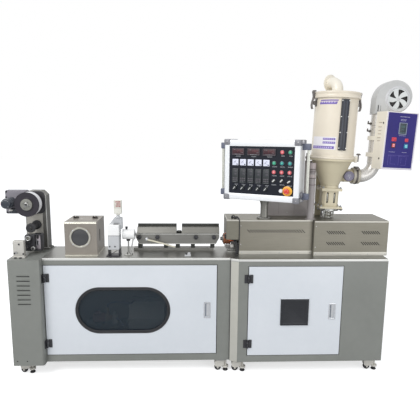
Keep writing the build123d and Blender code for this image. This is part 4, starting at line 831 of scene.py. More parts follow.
# Traverse that lays the filament: a pale cast bearing block at the front, two steel rods and a
# guide head with a black frame, a slotted plate and a ring knob.
block_cast = coat("pale machined block", (0.46, 0.45, 0.41), (0.58, 0.56, 0.52), 0.42, grain=900, bite=0.12,
                  metal=0.2)
plate_lilac = coat("slotted plate", (0.42, 0.38, 0.41), (0.52, 0.48, 0.5), 0.4, grain=600, metal=0.25)
piece("bearing_block", block_cast, [
    put(spot(63, 40, 946.5), slab(76, 123, 32, 4, 3)),
    put(spot(63, 39, 890), slab(92, 10, 40, 3, 1.5)),
], stands_for=("traverse_unit",))
piece("block_screws", black_cast, [
    put(spot(x, 8, z), turned_skin([(6.4, 0), (6.4, 3), (5.2, 4.4)], 16)) for x,
    z in ((69, 983), (35, 918), (96, 914))]
    + [put(spot(25, 24, 984, u=(0, -1, 0)), turned_skin([(6, 0), (6, 4), (5, 5)], 16))]
    + [put(spot(x, -2, 884.9, v=(0, 1, 0)), turned_skin([(9, 0), (9, 6), (7, 8)], 16)) for x in (44, 78)])
piece("traverse_rods", screw_steel, [
    tube([(83, y, z) for y in (40, 262)], 7, 20, 2) for z in (930, 975)]
    + [tube([(48, y, 925) for y in (2, 9)], 8, 16, 2)])
piece("guide_body", black_cast, [
    put(spot(104.5, 178, 965.5), slab(71, 121, 59, 6, 3)),
    put(spot(99, 118, 1004), turned_skin([(25, 0), (25, 5), (23, 7)], 32)),
    put(spot(90, 118, 990), slab(40, 64, 8, 8, 3)),
])
piece("ring_knob", screw_steel, [
    put(spot(99, 112, 1004),
        turned_skin([(12, 0), (19, 0), (20, 2), (20, 12), (18, 15), (14.5, 16), (12, 14), (10.5, 6)], 40,
                    closed=True))])
piece("knob_core", hub_grey, [put(spot(99, 112, 1004), turned_skin([(11, 0), (11, 6), (8, 8), (3, 9)], 24))])
piece("guide_frame", black_cast, [put(spot(153, 178, 967.5), frame_ring(66, 125, 50, 10, 8, edge=3))])
piece("guide_plate", plate_lilac, [put(spot(153, 150, 967.5), slab(50, 108, 4, 3, 1))])
piece("guide_ovals", gear_black, [
    put(spot(152, 146, 1006), slab(17, 30, 1.4, 8.5, 0.6, steps=8)),
    put(spot(150, 146, 962), slab(15, 42, 1.4, 7.5, 0.6, steps=8))])
piece("guide_eye", chrome, [put(spot(150, 144, 962), frame_ring(15, 42, 3, 2.6, 7.4, edge=1.2))])
piece("traverse_knob", screw_steel, [
    put(spot(128, 118, 926), turned_skin([(15, 0), (16, 2), (16, 9), (13, 12), (8, 12), (7, 10)], 32))])
piece("traverse_knob_seat", black_cast, [
    put(spot(128, 128, 926), turned_skin([(19, 0), (19, 8), (17, 10)], 32)),
    tube([(128, 116, 926), (128, 98, 926)], 6, 16, 2)])

# Puller: a brushed box with a rolled front edge, a round window clamped under a ring with four
# screws, two black toggle catches on its lid and a cable slot in its right side.
puller_steel = brushed("puller steel", (0.27, 0.243, 0.212), (0.375, 0.342, 0.3), 0.38, along=(0, 0, 1),
                       fine=520, tint=0.7)
ring_and_edge_sheen_steel = brushed("window ring and painted edge sheen", (0.46, 0.45, 0.39), (0.6, 0.58, 0.51), 0.3, fine=300, tint=0.55)
dark_glass = coat("dark glass", (0.04, 0.041, 0.044), (0.056, 0.057, 0.06), 0.25, grain=120, bite=0.01,
                  clear=0.25)
dress("puller_box", puller_steel, 1.6)
window = spot(483.5, 54, 1022)
piece("puller_ring", ring_and_edge_sheen_steel, [
    put(window, turned_skin([(62, 0.2), (74, 0.2), (74.6, 3.4), (73.4, 4.4), (64, 4.4), (62, 2.8)], 96,
                            closed=True))])
piece("puller_ring_screws", chrome, [
    put(spot(483.5 + 70 * np.cos(a), 49.8, 1022 + 70 * np.sin(a)), screw(5.4, 2.6))
    for a in np.radians([45, 135, 225, 315])])
piece("puller_glass", dark_glass,
      [put(spot(483.5, 56.8, 1022), turned_skin([(61.9, 0), (61.9, 1.2), (60.5, 1.8)], 96))])
fold_radius, fold_sheet = 14.8, 1.4
rolled = [(68.2 - fold_radius * np.cos(a), 1121 + fold_radius * np.sin(a))
          for a in np.radians(np.linspace(0, 90, 9))]
rolled += [(68.2 - (fold_radius - fold_sheet) * np.cos(a), 1121 + (fold_radius - fold_sheet) * np.sin(a))
           for a in np.radians(np.linspace(90, 0, 9))]
# The rolled front edge is painted in the ring's paler steel: a painted highlight.
piece("puller_edge_highlight", ring_and_edge_sheen_steel, [
    put(spot(376.5, 0, 0, u=(0, 1, 0)), loft([(np.array(rolled), w) for w in (0, 224)]))])
piece("puller_base", ring_and_edge_sheen_steel, [
    put(spot(488.5, 54, 889.5), slab(233, 9, 3, 1, 1)),
    put(spot(603, 186, 889.5, u=(0, 1, 0)), slab(262, 9, 3, 1, 1))])
catches, catch_caps = [], []
for x in (418, 559):
    catches.append(put(spot(x, 217, 1135, v=(0, 1, 0)), slab(40, 26, 12, 4, 3)))
    catches.append(put(spot(x - 10, 205, 1147, v=(0, 1, 0)), slab(9, 12, 5, 2, 1.5)))
    catches.append(put(spot(x + 10, 205, 1147, v=(0, 1, 0)), slab(9, 12, 5, 2, 1.5)))
    catch_caps += [put(spot(x + dx, 217, 1147, v=(0, 1, 0)), screw(3.4)) for dx in (-14, 14)]
piece("puller_catches", black_cast, catches)
piece("puller_catch_screws", chrome, catch_caps)
# Dark lines at the lid's joint, and a black plate in the side's cable slot that paints its shade.
piece("puller_lid_lines_and_slot_shade", shade_and_seam_black, [
    put(spot(488.5, 250, 1135, v=(0, 1, 0)), slab(226, 1.6, 0.35, 0.3, 0.1)),
    put(spot(488.5, 100, 1135, v=(0, 1, 0)), slab(226, 1.2, 0.35, 0.3, 0.1)),
    put(spot(603, 150, 1020, u=(0, 1, 0)), slab(16, 92, 0.8, 8, 0.3, steps=8))])
piece("puller_side_screws", chrome, [
    put(spot(603, y, z, u=(0, 1, 0)), screw(4.6, 2.2)) for y,
    z in ((225, 985), (90, 925), (292, 925), (292, 1110))]
    + [put(spot(470, 180, 1135, v=(0, 1, 0)), screw(5))])

# Diameter scanner: a white gauge head on a black bent stand, with a grey hood, and above it on a neck
# its own cream display, three lines of red figures.
def figures(place, text, height, weight=0.16, gap=0.35):
    """Seven-segment figures in a row about a place: a bar for each lit segment, w just off the face."""
    lit = {"0": "abcdef", "1": "bc", "2": "abged", "3": "abgcd", "4": "fgbc", "5": "afgcd", "6": "afgedc",
           "7": "abc", "8": "abcdefg", "9": "abcfgd", "-": "g"}
    width = height * 0.55
    bar = height * weight
    where = {"a": (0, 0.5), "g": (0, 0), "d": (0, -0.5), "b": (0.5, 0.25), "c": (0.5, -0.25),
             "e": (-0.5, -0.25), "f": (-0.5, 0.25)}
    bars = []
    for k, sign in enumerate(text):
        middle = (k - (len(text) - 1) / 2) * width * (1 + gap)
        for name in lit.get(sign, ""):
            u, v = where[name]
            long_way = width - bar * 0.6, bar
            if name in "bcef":
                long_way = bar, height / 2 - bar * 0.6
            at = np.eye(4)
            at[:3, 3] = (middle + u * (width - bar), v * (height - bar), 0)
            bars.append(put(place @ at, slab(*long_way, 0.35, bar * 0.3, 0.1)))
    return bars


gauge_white = coat("gauge white", (0.82, 0.82, 0.81), (0.89, 0.89, 0.88), 0.3, grain=900, bite=0.06,
                   clear=0.2)
gauge_grey = coat("gauge grey", (0.46, 0.47, 0.48), (0.56, 0.57, 0.58), 0.36, grain=900, bite=0.1)
display_cream = coat("display cream", (0.68, 0.67, 0.6), (0.77, 0.76, 0.7), 0.34, grain=700, bite=0.08)
red_figure = coat("red figures", (0.3, 0.02, 0.025), (0.42, 0.04, 0.045), 0.4)
piece("gauge_head", gauge_white, [
    put(spot(724, 118, 1079.5), slab(82, 79, 90, 5, 4)),
    put(spot(741, 118, 1112), slab(44, 14, 76, 3, 2)),
], stands_for=("diameter_scanner",))
piece("gauge_front", gauge_grey, [
    put(spot(724, 118, 988.5), slab(80, 102, 88.5, 4, 3)),
    put(spot(0, 72, 0),
        prism([(695, 1119), (723, 1160), (779, 1160), (779, 1079), (766, 1079), (766, 1119)], -46, 0)),
    put(spot(751, 88, 1160, v=(0, 1, 0)),
        turned_skin([(22, 0), (22, 5), (17, 7), (12, 12), (10, 20), (14, 24), (14, 29)], 32)),
])
piece("gauge_screws", black_cast, [put(spot(x, 29.4, 961), screw(5.4, 2)) for x in (697, 734)])
piece("gauge_seam", shade_and_seam_black, [put(spot(724, 28.6, 1039.6), slab(78, 1.2, 0.5, 0.3, 0.2))])
brace = [(686, 893), (693, 893), (752, 931), (745, 931)]
piece("gauge_stand", gear_black, [
    put(spot(718.5, 73, 885, v=(0, 1, 0)), slab(99, 90, 6, 3, 1)),
    put(spot(687, 79, 914, u=(0, 1, 0)), slab(78, 46, 8, 2, 1, base=-4)),
    put(spot(761, 79, 914, u=(0, 1, 0)), slab(78, 46, 8, 2, 1, base=-4)),
    put(spot(0, 40, 0), prism(brace, -5, 0)),
])
piece("display_case", display_cream, [
    put(spot(751, 100, 1239.5), slab(58, 101, 24, 5, 3)),
    put(spot(751, 88, 1181, v=(0, 1, 0)), turned_skin([(13, 0), (16, 3), (16, 8)], 24))])
piece("display_screen", coat("display window", (0.58, 0.56, 0.5), (0.64, 0.62, 0.56), 0.2), [
    put(spot(751, 76, 1258), slab(48, 56, 0.7, 2, 0.4))])
figure_rows = []
for z, text in ((1277, "175000"), (1262, "18250"), (1247, "09400")):
    figure_rows += figures(spot(756 if len(text) == 5 else 752, 75.3, z), text, 10.5, 0.3, 0.2)
piece("display_figures", red_figure, figure_rows)

# Cooling drum: a white sleeve lying along the line on a thin post, with a black valve knob above,
# a black clamp below and a slanted steel strut down to the worktop.
drum_profile = [(22, -89), (33, -89), (36, -88), (37, -86), (37, -77), (36, -76), (36, -18), (37, -17),
                (37, -5), (36, -2), (33, 0), (24, 0)]
piece("drum_sleeve", gauge_white, [put(spot(868, 100, 1037, u=(0, 1, 0)), turned_skin(drum_profile, 56))],
      stands_for=("cooling_drum",))
piece("drum_valve", black_cast, [
    put(spot(808, 100, 1072, v=(0, 1, 0)), turned_skin([(7, 0), (7, 6), (9, 8), (9, 20), (8, 22)], 20)),
    put(spot(820, 100, 988, v=(0, 1, 0)), turned_skin([(12, 0), (15, 2), (15, 12), (12, 14)], 24)),
    put(spot(868, 100, 1037, u=(0, 1, 0)), turned_skin([(15, 0), (15, 3), (11, 4)], 28)),
])
piece("drum_post", shelf_steel, [
    tube([(820, 100, 890), (820, 100, 990)], 6, 16, 2),
    put(spot(820, 100, 885, v=(0, 1, 0)), slab(56, 60, 8, 3, 1.5)),
    put(spot(820, 100, 893, v=(0, 1, 0)), turned_skin([(13, 0), (13, 8), (9, 12)], 24))])
piece("drum_strut", screw_steel, [
    tube([(858, 120, 1030), (846, 108, 960), (834, 98, 896)], 5, 16, 4),
    put(spot(834, 98, 885, v=(0, 1, 0)), slab(24, 30, 9, 3, 1.5)),
    put(spot(866, 128, 1022, u=(0, 1, 0)), slab(26, 60, 5, 3, 1, base=-6))])

# Trough: a stainless channel with sloped ends on black feet and a rail, two folded lids that hinge
# at the back with a black grip strip along each, black star knobs along its front.
trough_steel = brushed("trough steel", (0.215, 0.21, 0.195), (0.31, 0.305, 0.285), 0.4, fine=560, tint=0.65)
lid_steel = brushed("lid steel", (0.17, 0.166, 0.15), (0.25, 0.245, 0.225), 0.42, fine=560, tint=0.6)
dress("trough", trough_steel, 1.2)
dress("left_lid", lid_steel, 1.2)
dress("right_lid", lid_steel, 1.2)
strip_black = coat("grip strip", (0.026, 0.027, 0.024), (0.045, 0.047, 0.042), 0.5, grain=700, bite=0.25)
for name, low, high in (("left", 872, 1165), ("right", 1206, 1490)):
    grip = spot((low + high) / 2, 271.6, 1074.5)
    piece(f"{name}_grip", strip_black, [put(grip, slab(high - low + 0.8, 18.4, 15.2, 2, 1.6))],
          body=f"{name}_lid")
    rim = [put(spot((low + high) / 2, 190.2, 1023.5), slab(high - low - 3, 5, 1.3, 0.8, 0.8))]
    for x in (low + 1.6, high - 1.6):
        rim.append(put(spot(x, 0, 0, u=(0, 1, 0)), prism(
            [(190.4, 1020.8), (293, 1020.8), (271.4, 1065.4), (212.6, 1065.4)], -1.9, 1.9)))
    piece(f"{name}_lid_rim", lid_steel, rim, body=f"{name}_lid")
feet_boxes = [put(spot(x, 213.6, 922.5), slab(31, 34.8, 57, 1.5, 1, base=-56.6))
              for x in (890, 1085, 1175, 1290, 1440)]
feet_boxes.append(put(spot(1185.5, 230, 1021, v=(0, 1, 0)), slab(32, 26, 16, 4, 3)))
feet_boxes.append(put(spot(1185.5, 212, 1036), slab(20, 14, 10, 3, 2)))
piece("trough_feet", strip_black, feet_boxes)
angle = np.linspace(0, 2 * np.pi, 60, endpoint=False)
star = 16 + 1.5 * np.cos(6 * angle)
rings = []
for scale, w in ((0.92, 6.6), (1, 8), (1, 20.4), (0.94, 22.6), (0.82, 23.6)):
    rings.append((scale * np.column_stack([star * np.cos(angle), star * np.sin(angle)]), w))
knobs = []
for x in (889, 1024, 1313, 1449):
    knobs.append(put(spot(x, 190, 995), loft(rings)))
    knobs.append(put(spot(x, 190, 995), turned_skin([(7, 0), (7, 8.4)], 16)))
piece("star_knobs", black_cast, knobs)
piece("knob_caps", black_cast, [put(spot(x, 166.6, 995), screw(4.4, 1.4)) for x in (889, 1024, 1313, 1449)])
piece("trough_rolls", sheen_and_bright_steel, [
    put(spot(1176, 190, 1017.5), slab(624, 4, 1.3, 0.8, 0.8)),
    put(spot(1176, 190, 944), slab(574, 4, 1.3, 0.8, 0.8))])
piece("lever_joint", chrome, [
    put(spot(943, 190, 980),
        turned_skin([(11, 0), (11, 4), (7, 5), (7, 16), (9.5, 18), (9.5, 24), (6, 27)], 28)),
    put(spot(952, 176, 979), slab(22, 12, 8, 5, 3, steps=6))])
lever_path = np.column_stack(
    [np.linspace(950, 1158, 14), np.linspace(170, 160, 14), 978 - 54 * np.linspace(0, 1, 14) ** 1.15])
lever_size = 1.0 - 0.25 * np.linspace(0, 1, 14) ** 2
lever_size[0] = lever_size[-1] = 0.45
lever_path[1] = lever_path[0] * 0.9 + lever_path[1] * 0.1
lever_path[-2] = lever_path[-1] * 0.85 + lever_path[-2] * 0.15
piece("lever", coat("cream lever", (0.6, 0.56, 0.43), (0.72, 0.68, 0.55), 0.34, clear=0.2),
      [swept(lever_path, outline(17, 11, 5, 5), lever_size)])
piece("table_fitting", gauge_grey, [
    put(spot(1253, 60, 885, v=(0, 1, 0)), slab(44, 26, 10, 3, 2)),
    put(spot(1262, 60, 895, v=(0, 1, 0)), slab(20, 22, 14, 3, 2))])
piece("table_fitting_screw", black_cast,
      [put(spot(1242, 56, 895, v=(0, 1, 0)), turned_skin([(7, 0), (7, 9), (5, 11)], 16))])

# Panel post: steel tube on a welded foot with four bolts, flared at the top under the panel's bearing.
post_grey = brushed("post steel", (0.17, 0.165, 0.15), (0.25, 0.245, 0.225), 0.4, along=(0, 0, 1), tint=0.7)
flare = [(28.5 + 15 * t**2.4, 1238 + 50 * t) for t in np.linspace(0, 1, 10)]
piece("panel_post_tube", post_grey, [
    put(spot(1819, 152, 0, v=(0, 1, 0)), turned_skin(
        [(20, 1146), (53.5, 1146), (55, 1147.5), (55, 1154), (53.5, 1156), (33, 1156), (29.5, 1158),
         (28.5, 1163)]
        + flare + [(43.5, 1290), (20, 1290.4)], 56))], stands_for=("panel_post",))
piece("panel_post_bolts", screw_steel, [
    put(spot(1819 + 43 * np.cos(a), 152 + 43 * np.sin(a), 1156, v=(0, 1, 0)),
        turned_skin([(6, 0), (6, 4.5), (5, 5.5)], 6))
    for a in np.radians([45, 135, 225, 315])])

# Housing behind the panel and the riser beside it: mauve painted sheet with a screwed cover, and a
# painted pipe with paler sleeves clamped round it.
mauve = coat("mauve paint", (0.34, 0.312, 0.305), (0.42, 0.388, 0.38), 0.42, grain=900, bite=0.14)
mauve_pale = coat("pale mauve", (0.44, 0.38, 0.37), (0.54, 0.47, 0.46), 0.4, grain=900, bite=0.12)
mauve_dark = coat("dark mauve", (0.09, 0.065, 0.07), (0.14, 0.1, 0.105), 0.45)
dress("rear_housing", mauve, 1.2)
piece("rear_housing_cover", mauve, [
    put(spot(2019, 270, 1357), slab(338, 396, 1.4, 6, 1)),
    put(spot(2019, 360, 1357, u=(-1, 0, 0)), slab(320, 380, 1.4, 6, 1, base=-1))])
piece("rear_housing_lines", mauve_dark, [
    put(spot(x, 268.5, 1250), slab(1.4, 176, 0.5, 0.3, 0.1)) for x in (1950, 2070)]
    + [put(spot(2019, 268.5, 1340), slab(336, 1.4, 0.5, 0.3, 0.1))])
piece("rear_housing_screws", screw_steel, [
    put(spot(x, 268.6, z), screw(4.4)) for x in (1862, 2019, 2176) for z in (1170, 1545)])
pipe_place = spot(2158, 124, 0, v=(0, 1, 0))
riser_skin = [(18, 1146), (36.5, 1146), (38, 1147), (38, 1151), (36.5, 1152), (27, 1152), (25, 1154),
              (25, 1561), (24, 1562), (18, 1562)]
piece("riser_pipe", mauve, [put(pipe_place, turned_skin(riser_skin, 48, closed=True))],
      stands_for=("cable_riser",))
sleeves = []
for low, high in ((1520, 1562), (1455, 1476)):
    sleeves.append(
        put(pipe_place,
            turned_skin([(24.8, low), (25.8, low), (26, low + 1), (26, high - 1), (25.6, high), (24.8, high)],
                        48, closed=True)))
piece("riser_sleeves", mauve_pale, sleeves)
piece("riser_bands", mauve_dark, [
    put(pipe_place, turned_skin([(24.8, z), (26, z + 0.5), (26, z + 4.5), (24.8, z + 5)], 48, closed=True))
    for z in (1514, 1500, 1488, 1448, 1400)])
# A black disc down inside the pipe's top paints the shade in it.
piece("riser_inside_shade", shade_and_seam_black, [put(pipe_place, turned_skin([(18.2, 1540), (18.2, 1541)], 32))])

# Control panel: an anodised aluminium frame of extruded bars with grey cast corners, a sheet back,
# and two grips of aluminium bar between plastic blocks.
PANEL = framework(1819, 152, 1507, turn=-27.7)
anodised = brushed("anodised aluminium", (0.82, 0.83, 0.85), (0.9, 0.91, 0.92), 0.34, fine=500, bite=0.05,
                   tint=0.1)
corner_grey = coat("corner casting", (0.17, 0.17, 0.19), (0.27, 0.27, 0.29), 0.4, grain=700, bite=0.2,
                   metal=0.3)
grip_block = coat("grip block", (0.1, 0.11, 0.155), (0.16, 0.175, 0.235), 0.42, grain=700, bite=0.15)
grip_cream = brushed("grip bar", (0.6, 0.6, 0.53), (0.73, 0.73, 0.66), 0.28, along=(0, 0, 1), bite=0.04,
                     tint=0.4)
section = [(-1, 139), (0, 145.4), (0.6, 148.6), (2, 149.6), (24, 149.6), (25, 148.6), (27, 148.6),
           (28, 149.6), (38, 149.4),
           (43, 147), (45.3, 142), (45.5, 136), (45.5, 20), (44, 18), (44, 14), (45.5, 12), (45.5, 2),
           (43.5, 0)]
frame_rings = []
for a, w in section:
    shape = outline(482 + 2 * a * 38 / 45.5, 341 + 2 * a, max(0.5, 8 * a / 45.5))
    frame_rings.append((shape, w))
points, faces = loft(frame_rings)
piece("panel_frame", anodised, [put(PANEL @ spot(0, 38, 0), (points, faces[1:]))], stands_for=("panel_case",))
corners_near, corner_caps = [], []
for side in (-1, 1):
    for level in (-1, 1):
        middle_u, middle_v = side * 260, level * 199.1
        for y, forward in ((-70, 46), (42, 46)):
            corners_near.append(put(PANEL @ spot(middle_u, y, middle_v), slab(46, 41.8, forward, 7, 5)))
        corner_caps.append(
            put(PANEL @ spot(middle_u + side * 2, -114.5, middle_v + level * 1.5), slab(32, 29, 2.2, 5, 1.6)))
        corner_caps.append(put(PANEL @ spot(middle_u, -46, level * 219, u=(1, 0, 0), v=(0, level, 0)),
                               slab(40, 34, 1.2, 4, 0.8)))
piece("panel_corners", corner_grey, corners_near + corner_caps)
piece("panel_corner_screws", screw_steel, [
    put(PANEL @ spot(side * 262, -116.6, level * 200.6), screw(4, 1.2)) for side in (-1, 1)
    for level in (-1, 1)])
grips, grip_bars = [], []
for side in (-1, 1):
    for level in (-1, 1):
        grips.append(put(PANEL @ spot(side * 306.5, -19, level * 172), slab(54, 44, 36, 5, 3)))
        grips.append(put(PANEL @ spot(side * 306.5, -54.4, level * 172), slab(40, 30, 1.6, 4, 1)))
    grip_bars.append(
        put(PANEL @ spot(side * 320, -37, -152, v=(0, 1, 0)),
            loft([(outline(20, 17, 7), 0), (outline(20, 17, 7), 304)])))
piece("panel_grip_blocks", grip_block, grips)
piece("panel_grips", grip_cream, grip_bars)
piece("panel_latch", corner_grey, [
    put(PANEL @ spot(279, -50, -152, u=(0, 1, 0)), slab(62, 22, 7, 3, 2)),
    put(PANEL @ spot(286, -66, -158, u=(0, 1, 0)), slab(26, 34, 9, 4, 3)),
    tube([tuple((PANEL @ np.array([292, y, v, 1]))[:3]) for y,
          v in ((-60, -170), (-84, -176), (-96, -166), (-88, -148), (-60, -146))], 3, 12)])
piece("panel_back_screws", screw_steel, [
    put(PANEL @ spot(u, 38.2, v, u=(-1, 0, 0)), screw(4.4)) for u in (-225, 0, 225) for v in (-180, 180)])

# Panel face: a dark glossy plate with its instruments. Captions are rows of plain dashes.
face_dark = coat("panel face", (0.005, 0.007, 0.013), (0.008, 0.011, 0.02), 0.4, grain=700, bite=0.05,
                 specular=0.3)
dress("panel_face", face_dark)
bezel_grey = coat("bezel grey", (0.09, 0.08, 0.095), (0.14, 0.125, 0.145), 0.4)
display_frame = coat("display frame", (0.045, 0.034, 0.042), (0.075, 0.058, 0.07), 0.4)
maroon = coat("maroon window", (0.04, 0.012, 0.017), (0.062, 0.02, 0.027), 0.3, clear=0.1)
dim_red = coat("dim red figures", (0.095, 0.02, 0.026), (0.14, 0.032, 0.04), 0.4)
meter_white = coat("meter face", (0.68, 0.7, 0.84), (0.8, 0.82, 0.92), 0.3, patch=20)
ink = coat("dark ink", (0.02, 0.02, 0.04), (0.05, 0.05, 0.08), 0.5)
caption_ink = coat("caption print", (0.3, 0.31, 0.33), (0.5, 0.51, 0.53), 0.5, patch=60)
controller_black = coat("controller case", (0.022, 0.026, 0.028), (0.036, 0.041, 0.044), 0.34, grain=700,
                        bite=0.1)
controller_window = coat("controller window", (0.03, 0.034, 0.038), (0.048, 0.053, 0.058), 0.3, clear=0.1)
FACE = -107


def on_face(u, v, lift=0.0):
    """A place on the panel's face, lifted off it."""
    return PANEL @ spot(u, FACE - lift - 0.06, v)


def dashes(place, width, rows, seed, height=2.0, pitch=4.2):
    """A caption without words: rows of short dashes whose lengths repeat from a seed."""
    pick = np.random.default_rng(seed)
    made = []
    for row in range(rows):
        at = -width / 2 + pick.uniform(0, 0.12) * width
        stop = width / 2 - pick.uniform(0, 0.12) * width
        while at < stop - 1.5:
            length = min(pick.uniform(1.6, 6.5), stop - at)
            bar = np.eye(4)
            bar[:3, 3] = (at + length / 2, (rows - 1) * pitch / 2 - row * pitch, 0)
            made.append(put(place @ bar, slab(length, height, 0.3, 0.4, 0.1)))
            at += length + 1.3
    return made


bezels, windows, glows, captions = [], [], [], []
for i in range(3):
    u = -173 + i * 116.5
    bezels.append(put(on_face(u, 131), slab(94, 48, 6, 3, 2)))
    bezels.append(put(on_face(u, 131, 5.8), frame_ring(94, 48, 2.2, 4, 3)))
    windows.append(put(on_face(u, 134, 5.9), slab(84, 33, 0.7, 2, 0.3)))
    glows += figures(on_face(u + 12, 137, 6.6), ("0425", "0380", "0156")[i], 15)
    captions += dashes(on_face(u - 26, 146, 6.6), 24, 1, 20 + i, 1.3)
    captions += dashes(on_face(u + 30, 126, 6.6), 16, 1, 30 + i, 1.3)
    captions += dashes(on_face(u, 113, 6.2), 66, 1, 40 + i, 1.6)
    captions += dashes(on_face(u + 2, 99, 0), 44, 2, 50 + i, 2.0)
piece("display_bezels", display_frame, bezels, stands_for=("panel_controls",))
piece("display_windows", maroon, windows)
piece("panel_figures", dim_red, glows)
meters, scales, cases, case_windows, keys = [], [], [], [], []
for i in range(5):
    u = -192 + i * 58.5
    meters.append(put(on_face(u, 56), slab(45, 45, 8, 2.5, 1.2)))
    sweep = np.radians(np.linspace(160, 110, 9)) if i % 2 else np.radians(np.linspace(165, 105, 9))
    corner = np.array([u + 13, 56 - 13])
    ring_points = [
        tuple((PANEL @ np.array([corner[0] + 26 * np.cos(a), FACE - 8.3, corner[1] + 26 * np.sin(a), 1]))[
            :3]) for a in sweep]
    scales.append(tube(ring_points, 0.7, 8, 2))
    for a in sweep[::2]:
        mark = PANEL @ spot(corner[0] + 23 * np.cos(a), FACE - 8, corner[1] + 23 * np.sin(a),
                            u=(np.cos(a), 0, np.sin(a)), v=(-np.sin(a), 0, np.cos(a)))
        scales.append(put(mark, slab(6, 0.9, 0.4, 0.2, 0.1)))
    lean = np.radians(128 + 7 * i)
    hand = PANEL @ spot(corner[0] + 12 * np.cos(lean), FACE - 8.1, corner[1] + 12 * np.sin(lean),
                        u=(np.cos(lean), 0, np.sin(lean)), v=(-np.sin(lean), 0, np.cos(lean)))
    scales.append(put(hand, slab(22, 1.0, 0.5, 0.3, 0.1)))
    scales.append(put(on_face(u + 15, 41, 8), slab(10, 8, 0.7, 4, 0.3)))
    cases.append(put(on_face(u, -40), slab(48, 104, 7, 2.5, 1.5)))
    cases.append(put(on_face(u, -40, 6.9), frame_ring(48, 104, 1.1, 2.6, 2.5, edge=0.4)))
    case_windows.append(put(on_face(u, -18, 6.9), slab(41, 50, 0.6, 1.5, 0.2)))
    for row in range(2):
        glows_here = figures(on_face(u + 2, -8 - 20 * row, 7.5), ("180", "175", "190", "185", "170")[i], 11)
        keys += glows_here
    for column in range(3):
        for row in range(2):
            keys.append(put(on_face(u + (column - 1) * 13, -60 - 14 * row, 6.9), slab(9.5, 7, 1.4, 1.5, 0.5)))
    captions += dashes(on_face(u, 9, 7), 34, 1, 60 + i, 1.2)
    captions += dashes(on_face(u, -86, 7), 34, 1, 70 + i, 1.2)
piece("meters", meter_white, meters)
piece("meter_scales", ink, scales)
piece("controllers", controller_black, cases)
piece("controller_windows", controller_window, case_windows)
piece("controller_keys", bezel_grey, keys)

# Buttons, selectors and knobs in the panel's right and lower parts: chromed bezels with moulded
# caps, a white knob, and the red mushroom of the emergency stop on its yellow ring.
button_red = coat("red cap", (0.6, 0.06, 0.08), (0.75, 0.12, 0.14), 0.28, patch=30, clear=0.4)
button_green = coat("green cap", (0.01, 0.2, 0.1), (0.03, 0.32, 0.17), 0.28, patch=30, clear=0.4)
button_teal = coat("teal cap", (0.01, 0.18, 0.2), (0.02, 0.28, 0.3), 0.28, patch=30, clear=0.4)
pale_red = coat("pale red lens", (0.72, 0.28, 0.3), (0.84, 0.42, 0.42), 0.3, patch=40)
pale_green = coat("pale green lens", (0.08, 0.42, 0.3), (0.14, 0.55, 0.4), 0.3, patch=40)
knob_white = coat("white knob", (0.78, 0.78, 0.8), (0.86, 0.86, 0.87), 0.3)
knob_silver = brushed("selector caps", (0.55, 0.55, 0.53), (0.72, 0.72, 0.7), 0.26, fine=800, bite=0.04,
                      tint=0.4)
stop_yellow = coat("yellow ring", (0.82, 0.36, 0.03), (0.9, 0.5, 0.05), 0.3, patch=14, clear=0.3)
stop_red = coat("stop mushroom", (0.62, 0.035, 0.02), (0.78, 0.07, 0.035), 0.26, patch=14, clear=0.5)
bezel_rings = []
caps = {"red": [], "green": [], "teal": []}
lenses = {"red": [], "green": []}
colours = [[None, "red", "green"], ["green", "teal", "teal"], ["red", "red", "red"]]
for row, v in enumerate((133, 57, -6)):
    for column in range(3):
        u = 97 + column * 56.5
        if colours[row][column]:
            bezel_rings.append(
                put(on_face(u, v),
                    turned_skin([(13, 0), (15.4, 0), (15.8, 1), (15.4, 3), (14.6, 4.4), (13.4, 4.4)], 36,
                                closed=True)))
            cap = turned_skin([(13.4, 0), (13.4, 5.4), (12.6, 7.2), (10, 8), (1, 8.3)], 32)
            caps[colours[row][column]].append(put(on_face(u, v), cap))
            lens = "red" if colours[row][column] == "red" else "green"
            lenses[lens].append(put(on_face(u, v, 8.1), turned_skin([(6.6, 0), (6, 0.6), (1, 0.9)], 24)))
        if colours[row][column]:
            captions += dashes(on_face(u + 4, v - 25), 38 if row else 26, 2, 80 + 3 * row + column, 2.0)
piece("button_bezels", bezel_grey, bezel_rings)
piece("red_buttons", button_red, caps["red"])
piece("green_buttons", button_green, caps["green"])
piece("teal_buttons", button_teal, caps["teal"])
piece("red_lenses", pale_red, lenses["red"])
piece("green_lenses", pale_green, lenses["green"])


def turned_flat(u, v, degrees, lift=0.0):
    """A place on the face whose own u is turned by degrees."""
    a = np.radians(degrees)
    return PANEL @ spot(u, FACE - lift, v, u=(np.cos(a), 0, np.sin(a)), v=(-np.sin(a), 0, np.cos(a)))


selector_bodies, selector_levers = [], []
for column, (u, v) in enumerate(((98, -66), (155, -64), (208, -69))):
    selector_bodies.append(
        put(on_face(u, v), turned_skin([(11, 0), (13, 0.6), (13, 5), (12, 6), (4, 6)], 32)))
    selector_levers.append(
        put(turned_flat(u, v, 48 if column < 2 else 34, 5.8), slab(26, 9.5, 9, 4.5, 2.5, steps=5)))
    captions += dashes(on_face(u + 3, v - 29), 40, 2, 95 + column, 2.0)
piece("selector_bodies", controller_black, selector_bodies)
piece("selector_levers", knob_silver, selector_levers)
pointer_bodies, pointers = [], []
for i in range(5):
    u = -192 + i * 58.5
    pointer_bodies.append(
        put(on_face(u - 2, -128), turned_skin([(14, 0), (14, 9), (12.6, 13), (11, 15), (4, 15.4)], 32)))
    pointers.append(put(turned_flat(u - 4, -131, 50, 14.6), slab(24, 5, 2.6, 2.4, 1, steps=4)))
    pointers.append(put(turned_flat(u + 8, -115, 50, 0), slab(11, 3, 0.4, 1.4, 0.1)))
    captions += dashes(on_face(u + 6, -105), 30, 2, 110 + i, 2.0)
piece("pointer_knobs", controller_black, pointer_bodies)
piece("pointers", knob_silver, pointers)
piece("panel_captions", caption_ink, captions)
